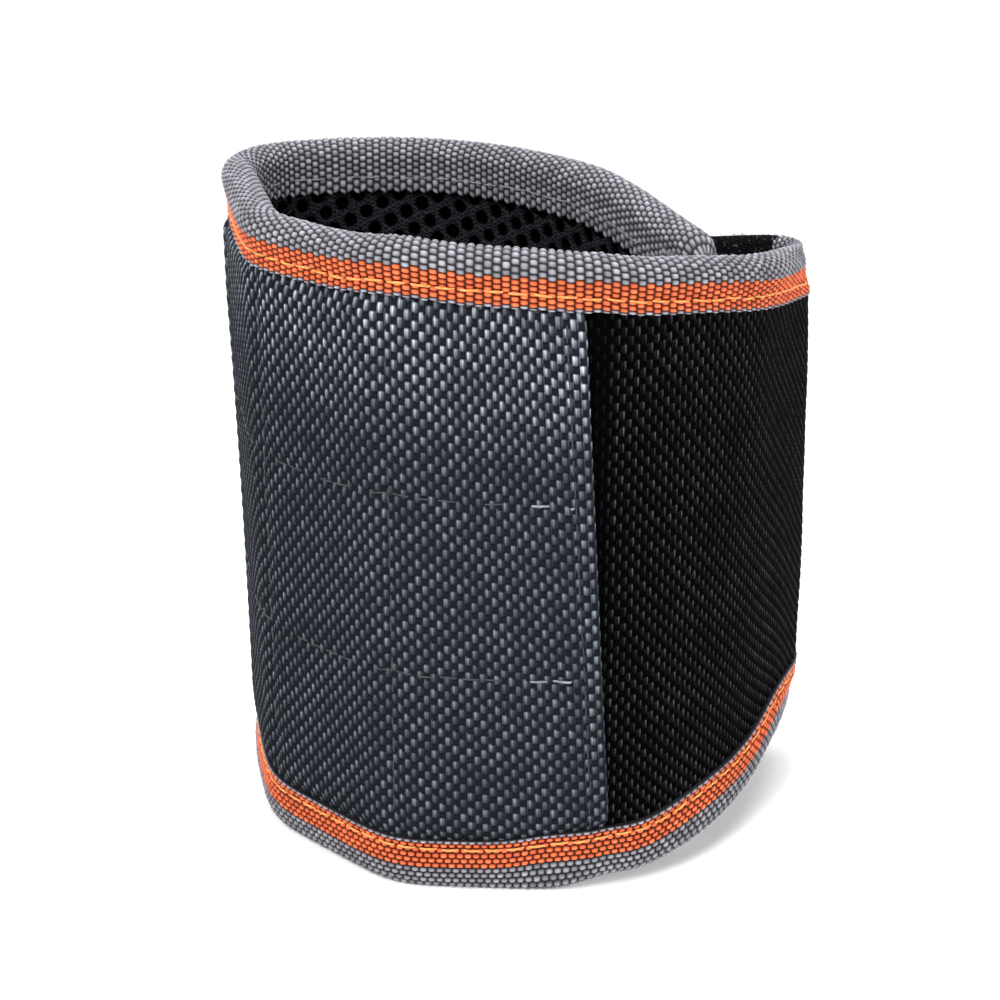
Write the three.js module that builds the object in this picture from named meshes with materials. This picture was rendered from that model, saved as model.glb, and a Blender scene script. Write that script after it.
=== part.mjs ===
// Magnetic wristband: a padded fabric band with flat magnets sewn into pockets, bound along both
// long edges, wrapped into a wrist loop and closed by a strap that presses onto its own tail.
// Millimetres, +Z up. The band stands on its lower bound edge. The middle pocket column faces -Y.
// The origin is on the rest face, under the middle of that column.

import * as THREE from "three";

const degrees = Math.PI / 180;

// Driving dimensions of the band
const bandHeight = 89; // over the two bound edges
const restCut = 0.5; // depth of the flat worn into the lower bound edge
const fabric = 0.8; // woven cover cloth
const seat = 0.3; // running gap between pieces that lie on each other
const padding = 1.9; // air-mesh lining, pressed thin at the edges
const plumpPadding = 2.2; // the same lining behind the magnets
const backingSheet = 0.5; // interlining that closes the pockets
const pocketRise = 0.8; // how far the pocket cloth stands proud of the plain cloth

// Edge binding, a woven tape folded over each long edge
const tape = 0.8;
const tapeLeg = 7; // visible width on each face, measured from the band's edge

// Magnets and their pockets
const magnetWidth = 15;
const magnetSpacing = 7.5; // between magnets one above the other
const magnetThickness = 2.2;
const magnetCorner = 1.5;
const magnetBevel = 0.3;
const pocketMargin = 0.75; // from the bindings to the outer pockets' seams
const rows = 3;
const columns = 3;
const columnFlat = 15.6; // flat stretch over one magnet
const columnBend = 7.4; // length of the bend between two columns
const hemWidth = 6.75; // folded edge of the pocket cloth

// Plan of the wrapped part: pocket columns, corner, back and tail tip
const firstTurn = 39; // between columns 1 and 2, degrees
const secondTurn = 34; // between columns 2 and 3, degrees
const cornerRadius = 11.5;
const cornerTurn = 84.5; // degrees
const backHandleShare = 0.55; // of the chord from the corner to the tail tip
const tipHandleShare = 0.21;
const tipAlong = 23.5; // where the tail tip meets the plain panel, from the hem
const tipGap = 0.5;
const tipLean = 24.5; // from square on to the panel, degrees
const tailTaper = 3.1; // how far each edge draws in at the tip
const tailTaperLength = 30;
const tailPanelSeam = 1.5; // from the last pocket column to the tail's first edge

// Plan of the leading part: plain panel, fold and closure strap
const hemCurve = 16; // bend of the hem itself, degrees
const hemTurn = 12.5; // degrees
const hemTurnLength = 7.5;
const panelRadius = 33;
const panelTurn = 41.5; // degrees
const panelReach = 17.5; // straight stretch before the fold
const foldRadius = 5;
const foldTurn = 112; // degrees
const foldTurnToHinge = 30; // part of the fold that stays with the panel, degrees
const strapOnTail = 44; // length pressed onto the tail
const strapLanding = 28; // from the tail tip to the first touch
const strapHandleShare = 0.4; // of the free span between fold and landing
const taperStart = 0.3; // from the hem
const taperSlope = 0.196;
const taperMost = 9.5;

// Closure
const strapWeb = 1;
const strapTuck = 6.5; // length sewn in under the fold's cover
const hookPile = 1.2;
const loopPile = 1.2;
const loopInset = 1.5; // from the binding's selvedge to the loop pile

// Motion
const bodyGap = 0.3; // between the cut faces at a flex line

// Facets
const strapStep = 2; // along the strap's free span
const stationStep = 4;
const stationAngle = 15; // degrees
const rollFacets = 6;
const padRamp = 4; // width over which the padding plumps up
const seamRamp = 8; // the same along the band, across the hem

// Derived layer depths, measured inwards from the plain cloth's face
const plainPadDepth = fabric + seat;
const magnetDepth = seat;
const backingDepth = magnetDepth + magnetThickness + seat;
const plumpPadDepth = backingDepth + backingSheet + seat;
const edgeDepth = plainPadDepth + padding;
const cavityHalf = (edgeDepth + 2 * seat) / 2;
const rollDepth = edgeDepth / 2; // middle of the bound edge
const rollRadius = cavityHalf + tape;
const clothEdge = rollRadius; // where cover and lining end inside the binding
const proudFace = rollDepth - rollRadius; // outer face of the binding
const padStart = tapeLeg + seat;
const rowPitch = (bandHeight - 2 * (tapeLeg + pocketMargin)) / rows;
const magnetHeight = rowPitch - magnetSpacing;

// A walk in plan that leaves three.js curves behind it
class Walk {
  constructor(x, y, heading) {
    this.at = new THREE.Vector2(x, y);
    this.heading = heading;
    this.path = new THREE.CurvePath();
    this.marks = [0];
  }
  add(curve, divisions) {
    const start = this.path.curves.length ? this.path.getLength() : 0;
    this.path.add(curve);
    this.path.updateArcLengths();
    const length = this.path.getLength() - start;
    for (let i = 1; i <= divisions; i++) this.marks.push(start + (length * i) / divisions);
    this.at = curve.getPoint(1);
  }
  straight(length) {
    const step = new THREE.Vector2(Math.cos(this.heading), Math.sin(this.heading)).multiplyScalar(length);
    this.add(new THREE.LineCurve(this.at.clone(), this.at.clone().add(step)), Math.ceil(length / stationStep));
  }
  bend(radius, turn) {
    const side = Math.sign(turn);
    const out = this.heading - (side * Math.PI) / 2;
    const cx = this.at.x - radius * Math.cos(out);
    const cy = this.at.y - radius * Math.sin(out);
    const end = out + turn * degrees;
    const arc = new THREE.EllipseCurve(cx, cy, radius, radius, out, end, side < 0);
    const byLength = (radius * Math.abs(turn) * degrees) / stationStep;
    this.add(arc, Math.ceil(Math.max(Math.abs(turn) / stationAngle, byLength)));
    this.heading += turn * degrees;
  }
  sweepTo(point, heading, startShare, endShare, step = stationStep) {
    const chord = point.distanceTo(this.at);
    const a = this.at.clone();
    const b = a.clone().add(direction(this.heading).multiplyScalar(chord * startShare));
    const c = point.clone().sub(direction(heading).multiplyScalar(chord * endShare));
    this.add(new THREE.CubicBezierCurve(a, b, c, point), Math.ceil(chord / step));
    this.heading = heading;
  }
}

function direction(heading) {
  return new THREE.Vector2(Math.cos(heading), Math.sin(heading));
}

// A run of band: a plan path, and the side of it that faces the wrist
class Run {
  constructor(walk, inwardTurn) {
    this.path = walk.path;
    this.marks = walk.marks;
    this.inwardTurn = inwardTurn;
    this.length = walk.path.getLength();
  }
  locate(s) {
    const ends = this.path.getCurveLengths();
    const index = Math.min(ends.filter((end) => end < s).length, ends.length - 1);
    const curve = this.path.curves[index];
    return { curve, share: THREE.MathUtils.clamp(1 - (ends[index] - s) / curve.getLength(), 0, 1) };
  }
  point(s) {
    const { curve, share } = this.locate(s);
    return curve.getPointAt(share);
  }
  heading(s) {
    const { curve, share } = this.locate(s);
    return curve.getTangentAt(share).angle();
  }
  inward(s) {
    return direction(this.heading(s) + this.inwardTurn);
  }
  at(s, height, depth) {
    const p = this.point(s).add(this.inward(s).multiplyScalar(depth));
    return new THREE.Vector3(p.x, p.y, height - restCut);
  }
  stations(from, to) {
    const inside = this.marks.filter((s) => s > from + seat && s < to - seat);
    return [from, ...inside, to];
  }
}

// A stretch of a run, moved sideways and walked the other way
class OffsetCurve extends THREE.Curve {
  constructor(run, from, to, depth) {
    super();
    this.run = run;
    this.from = from;
    this.to = to;
    this.depth = depth;
  }
  getPoint(share) {
    const s = THREE.MathUtils.lerp(this.from, this.to, share);
    return this.run.point(s).add(this.run.inward(s).multiplyScalar(this.depth));
  }
}

// Plan paths
const columnPitch = columnFlat + columnBend;
const firstMiddle = hemWidth + columnFlat / 2;
const pocketEnd = hemWidth + columns * columnPitch - columnBend + hemWidth;

// The hem bends beside the first magnet, whose face looks straight ahead
const hemRadius = hemWidth / (hemCurve * degrees);
const hemX = columnFlat / 2 + hemRadius * Math.sin(hemCurve * degrees);
const hemY = hemRadius * (1 - Math.cos(hemCurve * degrees)) - rollDepth;

function wrapWalk(tip, tipHeading) {
  const walk = new Walk(hemX, hemY, Math.PI + hemCurve * degrees);
  walk.bend(hemRadius, -hemCurve);
  walk.straight(columnFlat);
  for (const turn of [firstTurn, secondTurn]) {
    walk.bend(columnBend / (turn * degrees), -turn);
    walk.straight(columnFlat);
  }
  walk.straight(hemWidth + tailPanelSeam);
  walk.bend(cornerRadius, -cornerTurn);
  walk.sweepTo(tip, tipHeading, backHandleShare, tipHandleShare);
  return walk;
}

function leadWalk() {
  const walk = new Walk(hemX, hemY, hemCurve * degrees);
  walk.bend(hemTurnLength / (hemTurn * degrees), hemTurn);
  walk.bend(panelRadius, panelTurn);
  walk.straight(panelReach);
  walk.bend(foldRadius, foldTurn);
  return walk;
}

const lead = new Run(leadWalk(), Math.PI / 2);
const foldStart = lead.length - foldRadius * foldTurn * degrees;
const strapHinge = foldStart + foldRadius * foldTurnToHinge * degrees;
const foldEnd = lead.length;

// The tail tip leans on the plain panel's lining, its middle over the mark tipAlong
const panelInnerFace = edgeDepth + seat + tape;
const tipInward = lead.inward(tipAlong);
const tipHeading = tipInward.angle() + Math.PI - tipLean * degrees;
const tipReach = panelInnerFace + tipGap + rollRadius * Math.sin(tipLean * degrees);
const tipPoint = lead
  .point(tipAlong)
  .add(tipInward.clone().multiplyScalar(tipReach))
  .add(direction(tipHeading + Math.PI / 2).multiplyScalar(rollDepth));
const wrap = new Run(wrapWalk(tipPoint, tipHeading), -Math.PI / 2);
const tailHinge = pocketEnd + tailPanelSeam;
const tailEnd = wrap.length;

// The closure strap leaves the fold and lies on the tail's loop pile
const hookDepth = plainPadDepth + strapWeb + seat;
const strapStandoff = hookDepth + hookPile + seat + loopPile + seat;
const landing = tailEnd - strapLanding;
const strapWalk = leadWalk();
const pressed = new OffsetCurve(wrap, landing, landing - strapOnTail, -strapStandoff);
const landingHeading = wrap.heading(landing) + Math.PI;
strapWalk.sweepTo(pressed.getPoint(0), landingHeading, strapHandleShare, strapHandleShare, strapStep);
strapWalk.add(pressed, Math.ceil(strapOnTail / stationStep));
const closure = new Run(strapWalk, Math.PI / 2);

// Height of the band's lower edge; the upper edge mirrors it
function leadEdge(s) {
  return Math.min(Math.max(s - taperStart, 0) * taperSlope, taperMost);
}

// The strap's edge: inside the fold's bindings, then as wide as the fold's end
function strapEdge(s) {
  return leadEdge(s) + (s > foldEnd + seat ? 0 : clothEdge);
}

function wrapEdge(s) {
  return tailTaper * THREE.MathUtils.smoothstep(s, tailEnd - tailTaperLength, tailEnd);
}

// Share of full plumpness behind the pockets: 1 over the magnets, 0 at the bound edges and beyond the hem
function plumpAcross(height) {
  const fromEdge = Math.min(height, bandHeight - height);
  return THREE.MathUtils.smoothstep(fromEdge, padStart, padStart + padRamp);
}

function plumpAlong(s) {
  const atHem = THREE.MathUtils.smoothstep(s, -seamRamp / 2, seamRamp / 2);
  const atTail = 1 - THREE.MathUtils.smoothstep(s, pocketEnd - seat, tailHinge + seamRamp / 2);
  return Math.min(atHem, atTail);
}

function padOuter(s, height) {
  return THREE.MathUtils.lerp(plainPadDepth, plumpPadDepth, plumpAlong(s) * plumpAcross(height));
}

function padInner(s, height) {
  const full = plumpPadDepth + plumpPadding;
  return THREE.MathUtils.lerp(edgeDepth, full, plumpAlong(s) * plumpAcross(height));
}

// A closed solid between two facing grids of points
function shell(us, vs, face, back) {
  const points = [];
  for (const side of [face, back]) for (const u of us) for (const v of vs) points.push(side(u, v));
  const layer = us.length * vs.length;
  const id = (side, i, j) => side * layer + i * vs.length + j;
  const faces = [];
  const quad = (a, b, c, d) => faces.push(a, b, c, a, c, d);
  const iEnd = us.length - 1;
  const jEnd = vs.length - 1;
  for (let i = 0; i < iEnd; i++)
    for (let j = 0; j < jEnd; j++) {
      quad(id(0, i, j), id(0, i + 1, j), id(0, i + 1, j + 1), id(0, i, j + 1));
      quad(id(1, i, j), id(1, i, j + 1), id(1, i + 1, j + 1), id(1, i + 1, j));
    }
  for (let i = 0; i < iEnd; i++) {
    quad(id(0, i, 0), id(1, i, 0), id(1, i + 1, 0), id(0, i + 1, 0));
    quad(id(0, i, jEnd), id(0, i + 1, jEnd), id(1, i + 1, jEnd), id(1, i, jEnd));
  }
  for (let j = 0; j < jEnd; j++) {
    quad(id(0, 0, j), id(0, 0, j + 1), id(1, 0, j + 1), id(1, 0, j));
    quad(id(0, iEnd, j), id(1, iEnd, j), id(1, iEnd, j + 1), id(0, iEnd, j + 1));
  }
  if (volumeOf(points, faces) < 0) faces.reverse();
  const geometry = new THREE.BufferGeometry().setFromPoints(points);
  geometry.setIndex(faces);
  geometry.computeVertexNormals();
  return geometry;
}

function volumeOf(points, faces) {
  let sum = 0;
  for (let i = 0; i < faces.length; i += 3) {
    const [a, b, c] = [points[faces[i]], points[faces[i + 1]], points[faces[i + 2]]];
    sum += a.dot(b.clone().cross(c));
  }
  return sum;
}

// Evenly spread values from one number to another
function spread(from, to, parts) {
  return Array.from({ length: parts + 1 }, (_, i) => THREE.MathUtils.lerp(from, to, i / parts));
}

// Heights across the band, finer where the padding plumps up
function crossHeights() {
  const low = [clothEdge, padStart, padStart + padRamp / 2, padStart + padRamp];
  return [...low, ...low.map((height) => bandHeight - height).reverse()];
}

// A flat layer between two depths. Edge is the band's edge along the run, inset the layer's own from it
function layer(run, from, to, edge, inset, outerDepth, innerDepth) {
  const width = (s, side) => (side ? bandHeight - edge(s) - inset : edge(s) + inset);
  return shell(
    run.stations(from, to),
    [0, 1],
    (s, side) => run.at(s, width(s, side), outerDepth),
    (s, side) => run.at(s, width(s, side), innerDepth),
  );
}

// The section of a folded tape, from the outer leg's selvedge round the edge to the inner leg's.
// Each point has its height over the band's edge and its depth, on the tape's outer and inner faces
function tapeSection(legTop) {
  const section = [{ outer: [legTop, -1], inner: [legTop, -1] }];
  for (const angle of spread(0, Math.PI, rollFacets)) {
    const up = -Math.sin(angle);
    const across = -Math.cos(angle);
    section.push({ outer: [up, across], inner: [up, across], roll: true });
  }
  section.push({ outer: [legTop, 1], inner: [legTop, 1] });
  return section.map(({ outer, inner, roll }) => ({
    outer: [roll ? rollRadius * (1 + outer[0]) : outer[0], rollDepth + rollRadius * outer[1]],
    inner: [roll ? rollRadius + cavityHalf * inner[0] : inner[0], rollDepth + cavityHalf * inner[1]],
  }));
}

// The binding along one long edge. The lower one is flat where it meets the rest face
function binding(run, from, to, edge, upper) {
  const section = tapeSection(tapeLeg);
  const place = (s, [height, depth]) => {
    const up = Math.max(edge(s) + height, upper ? 0 : restCut);
    return run.at(s, upper ? bandHeight - up : up, depth);
  };
  const keys = section.map((_, index) => index);
  const outer = (s, key) => place(s, section[key].outer);
  const inner = (s, key) => place(s, section[key].inner);
  return shell(run.stations(from, to), keys, outer, inner);
}

// The binding across the tail's tip, between the two long ones
function endBinding() {
  const section = tapeSection(tapeLeg);
  const legEnd = tailTaper + tapeLeg + seat;
  const heights = [legEnd, bandHeight - legEnd];
  const place = (height, [back, depth]) => wrap.at(tailEnd - back, height, depth);
  const keys = section.map((_, index) => index);
  const outer = (height, key) => place(height, section[key].outer);
  const inner = (height, key) => place(height, section[key].inner);
  return shell(heights, keys, outer, inner);
}

// The pocket cloth: proud over the magnets, doubled at its folded edges
function pocketCloth() {
  const to = pocketEnd;
  const hem = wrap.stations(0, hemWidth - seat);
  const stations = [...hem, ...wrap.stations(hemWidth, to - hemWidth), to - hemWidth + seat, to];
  const rise = (height) => pocketRise * plumpAcross(height);
  const doubled = (s) => s < hemWidth || s > to - hemWidth;
  const inner = (s, height) => wrap.at(s, height, fabric - (doubled(s) ? 0 : rise(height)));
  return shell(stations, crossHeights(), (s, height) => wrap.at(s, height, -rise(height)), inner);
}

// The interlining that closes the pockets from behind
function pocketBacking() {
  const heights = [padStart + padRamp, bandHeight - padStart - padRamp];
  const stations = wrap.stations(seamRamp / 2, pocketEnd - hemWidth / 2);
  const at = (depth) => (s, height) => wrap.at(s, height, depth);
  return shell(stations, heights, at(backingDepth), at(backingDepth + backingSheet));
}

// The lining from the fold's flex line to the tail's: two runs that meet at the hem
function frontLining() {
  const leadStations = lead.stations(0, strapHinge - bodyGap / 2).map((s) => -s);
  const wrapStations = wrap.stations(0, tailHinge - bodyGap / 2);
  const stations = [...leadStations.reverse(), ...wrapStations.slice(1)];
  return shell(
    stations,
    crossHeights(),
    (s, height) => frontPoint(s, height, padOuter(s, height)),
    (s, height) => frontPoint(s, height, padInner(s, height)),
  );
}

// A point of the front piece: s runs from minus at the fold to plus at the corner.
// Heights are those of the full band, drawn in with the taper
function frontPoint(s, height, depth) {
  const run = s < 0 ? lead : wrap;
  const edge = s < 0 ? leadEdge(-s) : wrapEdge(s);
  return run.at(Math.abs(s), drawnIn(height, edge), depth);
}

function drawnIn(height, edge) {
  return bandHeight / 2 + (height - bandHeight / 2) * ((bandHeight / 2 - edge) / (bandHeight / 2));
}

// The front binding follows both runs in one piece
function frontBinding(upper) {
  const section = tapeSection(tapeLeg);
  const leadStations = lead.stations(0, strapHinge - bodyGap / 2).map((s) => -s);
  const stations = [...leadStations.reverse(), ...wrap.stations(0, tailHinge - bodyGap / 2).slice(1)];
  const place = (s, [height, depth]) => {
    const edge = s < 0 ? leadEdge(-s) : wrapEdge(s);
    const up = Math.max(edge + height, upper ? 0 : restCut);
    return (s < 0 ? lead : wrap).at(Math.abs(s), upper ? bandHeight - up : up, depth);
  };
  const keys = section.map((_, index) => index);
  const outer = (s, key) => place(s, section[key].outer);
  const inner = (s, key) => place(s, section[key].inner);
  return shell(stations, keys, outer, inner);
}

// One magnet: a flat square with rounded corners, centred on its own origin
function magnetGeometry() {
  const x = magnetWidth / 2 - magnetBevel;
  const y = magnetHeight / 2 - magnetBevel;
  const r = magnetCorner;
  const outline = new THREE.Shape();
  outline.moveTo(-x + r, -y);
  outline.lineTo(x - r, -y);
  outline.absarc(x - r, -y + r, r, -Math.PI / 2, 0);
  outline.lineTo(x, y - r);
  outline.absarc(x - r, y - r, r, 0, Math.PI / 2);
  outline.lineTo(-x + r, y);
  outline.absarc(-x + r, y - r, r, Math.PI / 2, Math.PI);
  outline.lineTo(-x, -y + r);
  outline.absarc(-x + r, -y + r, r, Math.PI, Math.PI * 1.5);
  const depth = magnetThickness - 2 * magnetBevel;
  const block = new THREE.ExtrudeGeometry(outline, {
    depth,
    curveSegments: 3,
    bevelSize: magnetBevel,
    bevelThickness: magnetBevel,
    bevelSegments: 1,
  });
  block.translate(0, 0, -depth / 2);
  return block;
}

// Materials, one per piece
function material(color, roughness, metalness = 0) {
  return new THREE.MeshStandardMaterial({ color, roughness, metalness });
}

const colours = {
  slate: 0x3a4048,
  black: 0x121214,
  mesh: 0x17171a,
  tape: 0x7a787e,
  magnet: 0xb9bcc0,
  interlining: 0xd8d8d4,
  pile: 0x1c1c1f,
};

const group = new THREE.Group();

function piece(name, geometry, color, roughness = 0.85, metalness = 0) {
  const mesh = new THREE.Mesh(geometry, material(color, roughness, metalness));
  mesh.name = name;
  group.add(mesh);
  return mesh;
}

// Front: pocket cloth, magnets, interlining, plain panel, lining and bindings
piece("magnet_panel", pocketCloth(), colours.slate);
piece("pocket_backing", pocketBacking(), colours.interlining);
for (let column = 0; column < columns; column++)
  for (let row = 0; row < rows; row++) {
    const s = firstMiddle + column * columnPitch;
    const height = bandHeight / 2 + (row - (rows - 1) / 2) * rowPitch;
    const name = "magnet_column" + (column + 1) + "_row" + (row + 1);
    const magnet = piece(name, magnetGeometry(), colours.magnet, 0.35, 0.9);
    magnet.rotation.set(Math.PI / 2, wrap.heading(s), 0);
    magnet.position.copy(wrap.at(s, height, magnetDepth + magnetThickness / 2));
  }
const panelEnd = strapHinge - bodyGap / 2;
piece("plain_panel", layer(lead, seat, panelEnd, leadEdge, clothEdge, 0, fabric), colours.black);
piece("front_lining", frontLining(), colours.mesh, 0.95);
piece("front_binding_upper", frontBinding(true), colours.tape);
piece("front_binding_lower", frontBinding(false), colours.tape);

// Tail: cover, lining, loop pile and bindings
const tailStart = tailHinge + bodyGap / 2;
const tailCloth = tailEnd - clothEdge;
const padBack = edgeDepth;
piece("tail_cover", layer(wrap, tailStart, tailCloth, wrapEdge, clothEdge, 0, fabric), colours.black);
piece("tail_lining", layer(wrap, tailStart, tailCloth, wrapEdge, clothEdge, plainPadDepth, padBack), colours.mesh, 0.95);
piece("tail_binding_upper", binding(wrap, tailStart, tailEnd, wrapEdge, true), colours.tape);
piece("tail_binding_lower", binding(wrap, tailStart, tailEnd, wrapEdge, false), colours.tape);
piece("tail_binding_tip", endBinding(), colours.tape);
const loopStart = tailHinge + cornerRadius * cornerTurn * degrees;
const loopEnd = tailEnd - tapeLeg - loopInset;
const loopEdge = tapeLeg + loopInset;
piece("loop_strip", layer(wrap, loopStart, loopEnd, wrapEdge, loopEdge, -seat - loopPile, -seat), colours.pile, 1);

// Closure: the far side of the fold, the strap sewn into it and its hook pile
const foldFrom = strapHinge + bodyGap / 2;
const foldPadEnd = foldEnd - strapTuck - seat;
const strapEnd = closure.length;
piece("fold_cover", layer(lead, foldFrom, foldEnd, leadEdge, clothEdge, 0, fabric), colours.black);
piece("fold_lining", layer(lead, foldFrom, foldPadEnd, leadEdge, clothEdge, plainPadDepth, padBack), colours.mesh, 0.95);
piece("fold_binding_upper", binding(lead, foldFrom, foldEnd, leadEdge, true), colours.tape);
piece("fold_binding_lower", binding(lead, foldFrom, foldEnd, leadEdge, false), colours.tape);
const webBack = plainPadDepth + strapWeb;
const webStart = foldEnd - strapTuck;
piece("closure_strap", layer(closure, webStart, strapEnd, strapEdge, 0, plainPadDepth, webBack), colours.pile);
const hookEdge = clothEdge + loopInset;
const hookBack = hookDepth + hookPile;
const hookStart = foldEnd + seat;
const hookEnd = strapEnd - loopInset;
piece("hook_strip", layer(closure, hookStart, hookEnd, leadEdge, hookEdge, hookDepth, hookBack), colours.pile, 1);

// The flex lines that the tail and the closure open about, upright on the bindings' outer face
const flexLine = (run, s) => run.at(s, restCut, proudFace).toArray();
group.userData.flexLines = { tail: flexLine(wrap, tailHinge), closure: flexLine(lead, strapHinge) };

export default group;
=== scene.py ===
import math

import bpy
import numpy as np
from bpy.props import FloatProperty, FloatVectorProperty, IntProperty, PointerProperty
from mathutils import Matrix, Vector


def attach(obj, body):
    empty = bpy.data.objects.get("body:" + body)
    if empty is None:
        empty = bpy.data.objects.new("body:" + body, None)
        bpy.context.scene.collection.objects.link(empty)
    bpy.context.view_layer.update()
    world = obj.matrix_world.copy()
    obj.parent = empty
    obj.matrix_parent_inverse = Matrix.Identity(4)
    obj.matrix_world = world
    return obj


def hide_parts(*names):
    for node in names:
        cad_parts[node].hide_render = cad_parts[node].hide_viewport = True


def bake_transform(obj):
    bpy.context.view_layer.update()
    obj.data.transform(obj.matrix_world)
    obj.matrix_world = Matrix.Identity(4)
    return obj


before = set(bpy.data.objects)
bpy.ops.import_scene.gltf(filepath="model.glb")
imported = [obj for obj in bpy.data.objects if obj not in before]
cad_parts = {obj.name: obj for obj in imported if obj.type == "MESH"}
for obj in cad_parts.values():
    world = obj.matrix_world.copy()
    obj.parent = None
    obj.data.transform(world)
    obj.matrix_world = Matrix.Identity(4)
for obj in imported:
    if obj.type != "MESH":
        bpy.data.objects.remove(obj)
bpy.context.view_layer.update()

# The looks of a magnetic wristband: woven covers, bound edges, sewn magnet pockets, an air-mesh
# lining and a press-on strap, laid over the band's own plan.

bl_info = {
    "name": "Magnetic wristband",
    "version": (1, 0, 0),
    "blender": (4, 5, 0),
    "location": "3D View > Sidebar > Wristband",
    "description": "Dresses a magnetic wristband with cloth, tape, stitching, air mesh and strap",
    "category": "Object",
}

MM = 0.001


# Properties

def length(name, millimetres, about):
    return FloatProperty(name=name, description=about, default=millimetres * MM, unit="LENGTH", precision=5)


def turn(name, degrees, about):
    return FloatProperty(name=name, description=about, default=math.radians(degrees), subtype="ANGLE")


def share(name, value, about):
    return FloatProperty(name=name, description=about, default=value, subtype="FACTOR", min=0, max=4)


def number(name, value, about):
    return FloatProperty(name=name, description=about, default=value)


def colour(name, value, about):
    return FloatVectorProperty(
        name=name, description=about, default=value, subtype="COLOR", size=3, min=0, max=1)


class BandSizes(bpy.types.PropertyGroup):
    """The band's layers and its plan, as the solid pieces have them"""
    height: length("Height", 89, "Over the two bound edges")
    rest_cut: length("Rest cut", 0.5, "Depth of the flat on the lower edge")
    fabric: length("Cover cloth", 0.8, "Thickness")
    seat: length("Seat", 0.3, "Gap between layers that lie on each other")
    padding: length("Lining", 1.9, "Thickness")
    plump_padding: length("Plump lining", 2.2, "Thickness behind the pockets")
    backing: length("Interlining", 0.5, "Thickness")
    pocket_rise: length("Pocket rise", 0.8, "How far the pocket cloth stands proud")
    magnet_thickness: length("Magnet", 2.2, "Thickness")
    column_flat: length("Column flat", 15.6, "Flat stretch over one magnet")
    column_bend: length("Column bend", 7.4, "Length of the bend between columns")
    hem: length("Hem", 6.75, "Folded edge of the pocket cloth")
    first_turn: turn("First turn", 39, "Bend between columns 1 and 2")
    second_turn: turn("Second turn", 34, "Bend between columns 2 and 3")
    corner_radius: length("Corner radius", 11.5, "Bend from the pockets to the tail")
    corner_turn: turn("Corner turn", 84.5, "Bend from the pockets to the tail")
    back_handle: share("Back handle", 0.55, "Reach of the back's curve from the corner")
    tip_handle: share("Tip handle", 0.21, "Reach of the back's curve from the tip")
    tip_along: length("Tip place", 23.5, "Where the tail's tip meets the plain panel")
    tip_gap: length("Tip gap", 0.5, "Gap between the tip and the panel's binding")
    tip_inset: length("Tip inset", 1.4, "How far the woven tip stays behind the solid one")
    tip_lean: turn("Tip lean", 24.5, "From square on to the panel")
    tail_taper: length("Tail taper", 3.1, "How far each edge draws in at the tip")
    tail_taper_length: length("Tail taper length", 30, "Stretch over which the tail tapers")
    tail_corner: length("Tail corner", 4, "Rounding of the tail's corners")
    tail_seam: length("Tail seam", 1.5, "From the pockets' hem to the tail")
    hem_curve: turn("Hem curve", 16, "Bend of the hem itself")
    hem_turn: turn("Hem turn", 12.5, "Bend at the hem")
    hem_turn_length: length("Hem turn length", 7.5, "Length of the bend at the hem")
    panel_radius: length("Panel radius", 33, "Bend of the plain panel")
    panel_turn: turn("Panel turn", 41.5, "Bend of the plain panel")
    panel_reach: length("Panel reach", 17.5, "Straight stretch before the fold")
    fold_radius: length("Fold radius", 5, "Bend of the fold")
    fold_turn: turn("Fold turn", 112, "Bend of the fold")
    fold_to_hinge: turn("Fold to flex line", 30, "Part of the fold that stays with the panel")
    strap_on_tail: length("Strap on tail", 44, "Length pressed onto the tail")
    strap_landing: length("Strap landing", 28, "From the tail's tip to the first touch")
    strap_handle: share("Strap handle", 0.4, "Reach of the strap's free span")
    taper_start: length("Taper start", 0.3, "From the hem")
    taper_slope: share("Taper slope", 0.196, "Drawing in of the plain panel's edges")
    taper_most: length("Taper most", 9.5, "Largest drawing in of the panel's edges")
    strap_tuck: length("Strap tuck", 6.5, "Length sewn in under the fold's cover")
    strap_web: length("Strap web", 1, "Thickness of the strap")
    pile: length("Pile", 1.2, "Height of the hook and the loop pile")
    loop_inset: length("Loop inset", 1.5, "From the binding's selvedge to the loop pile")
    soften: length("Soften", 2.4, "How far a change of bend is spread along the band")


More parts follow.
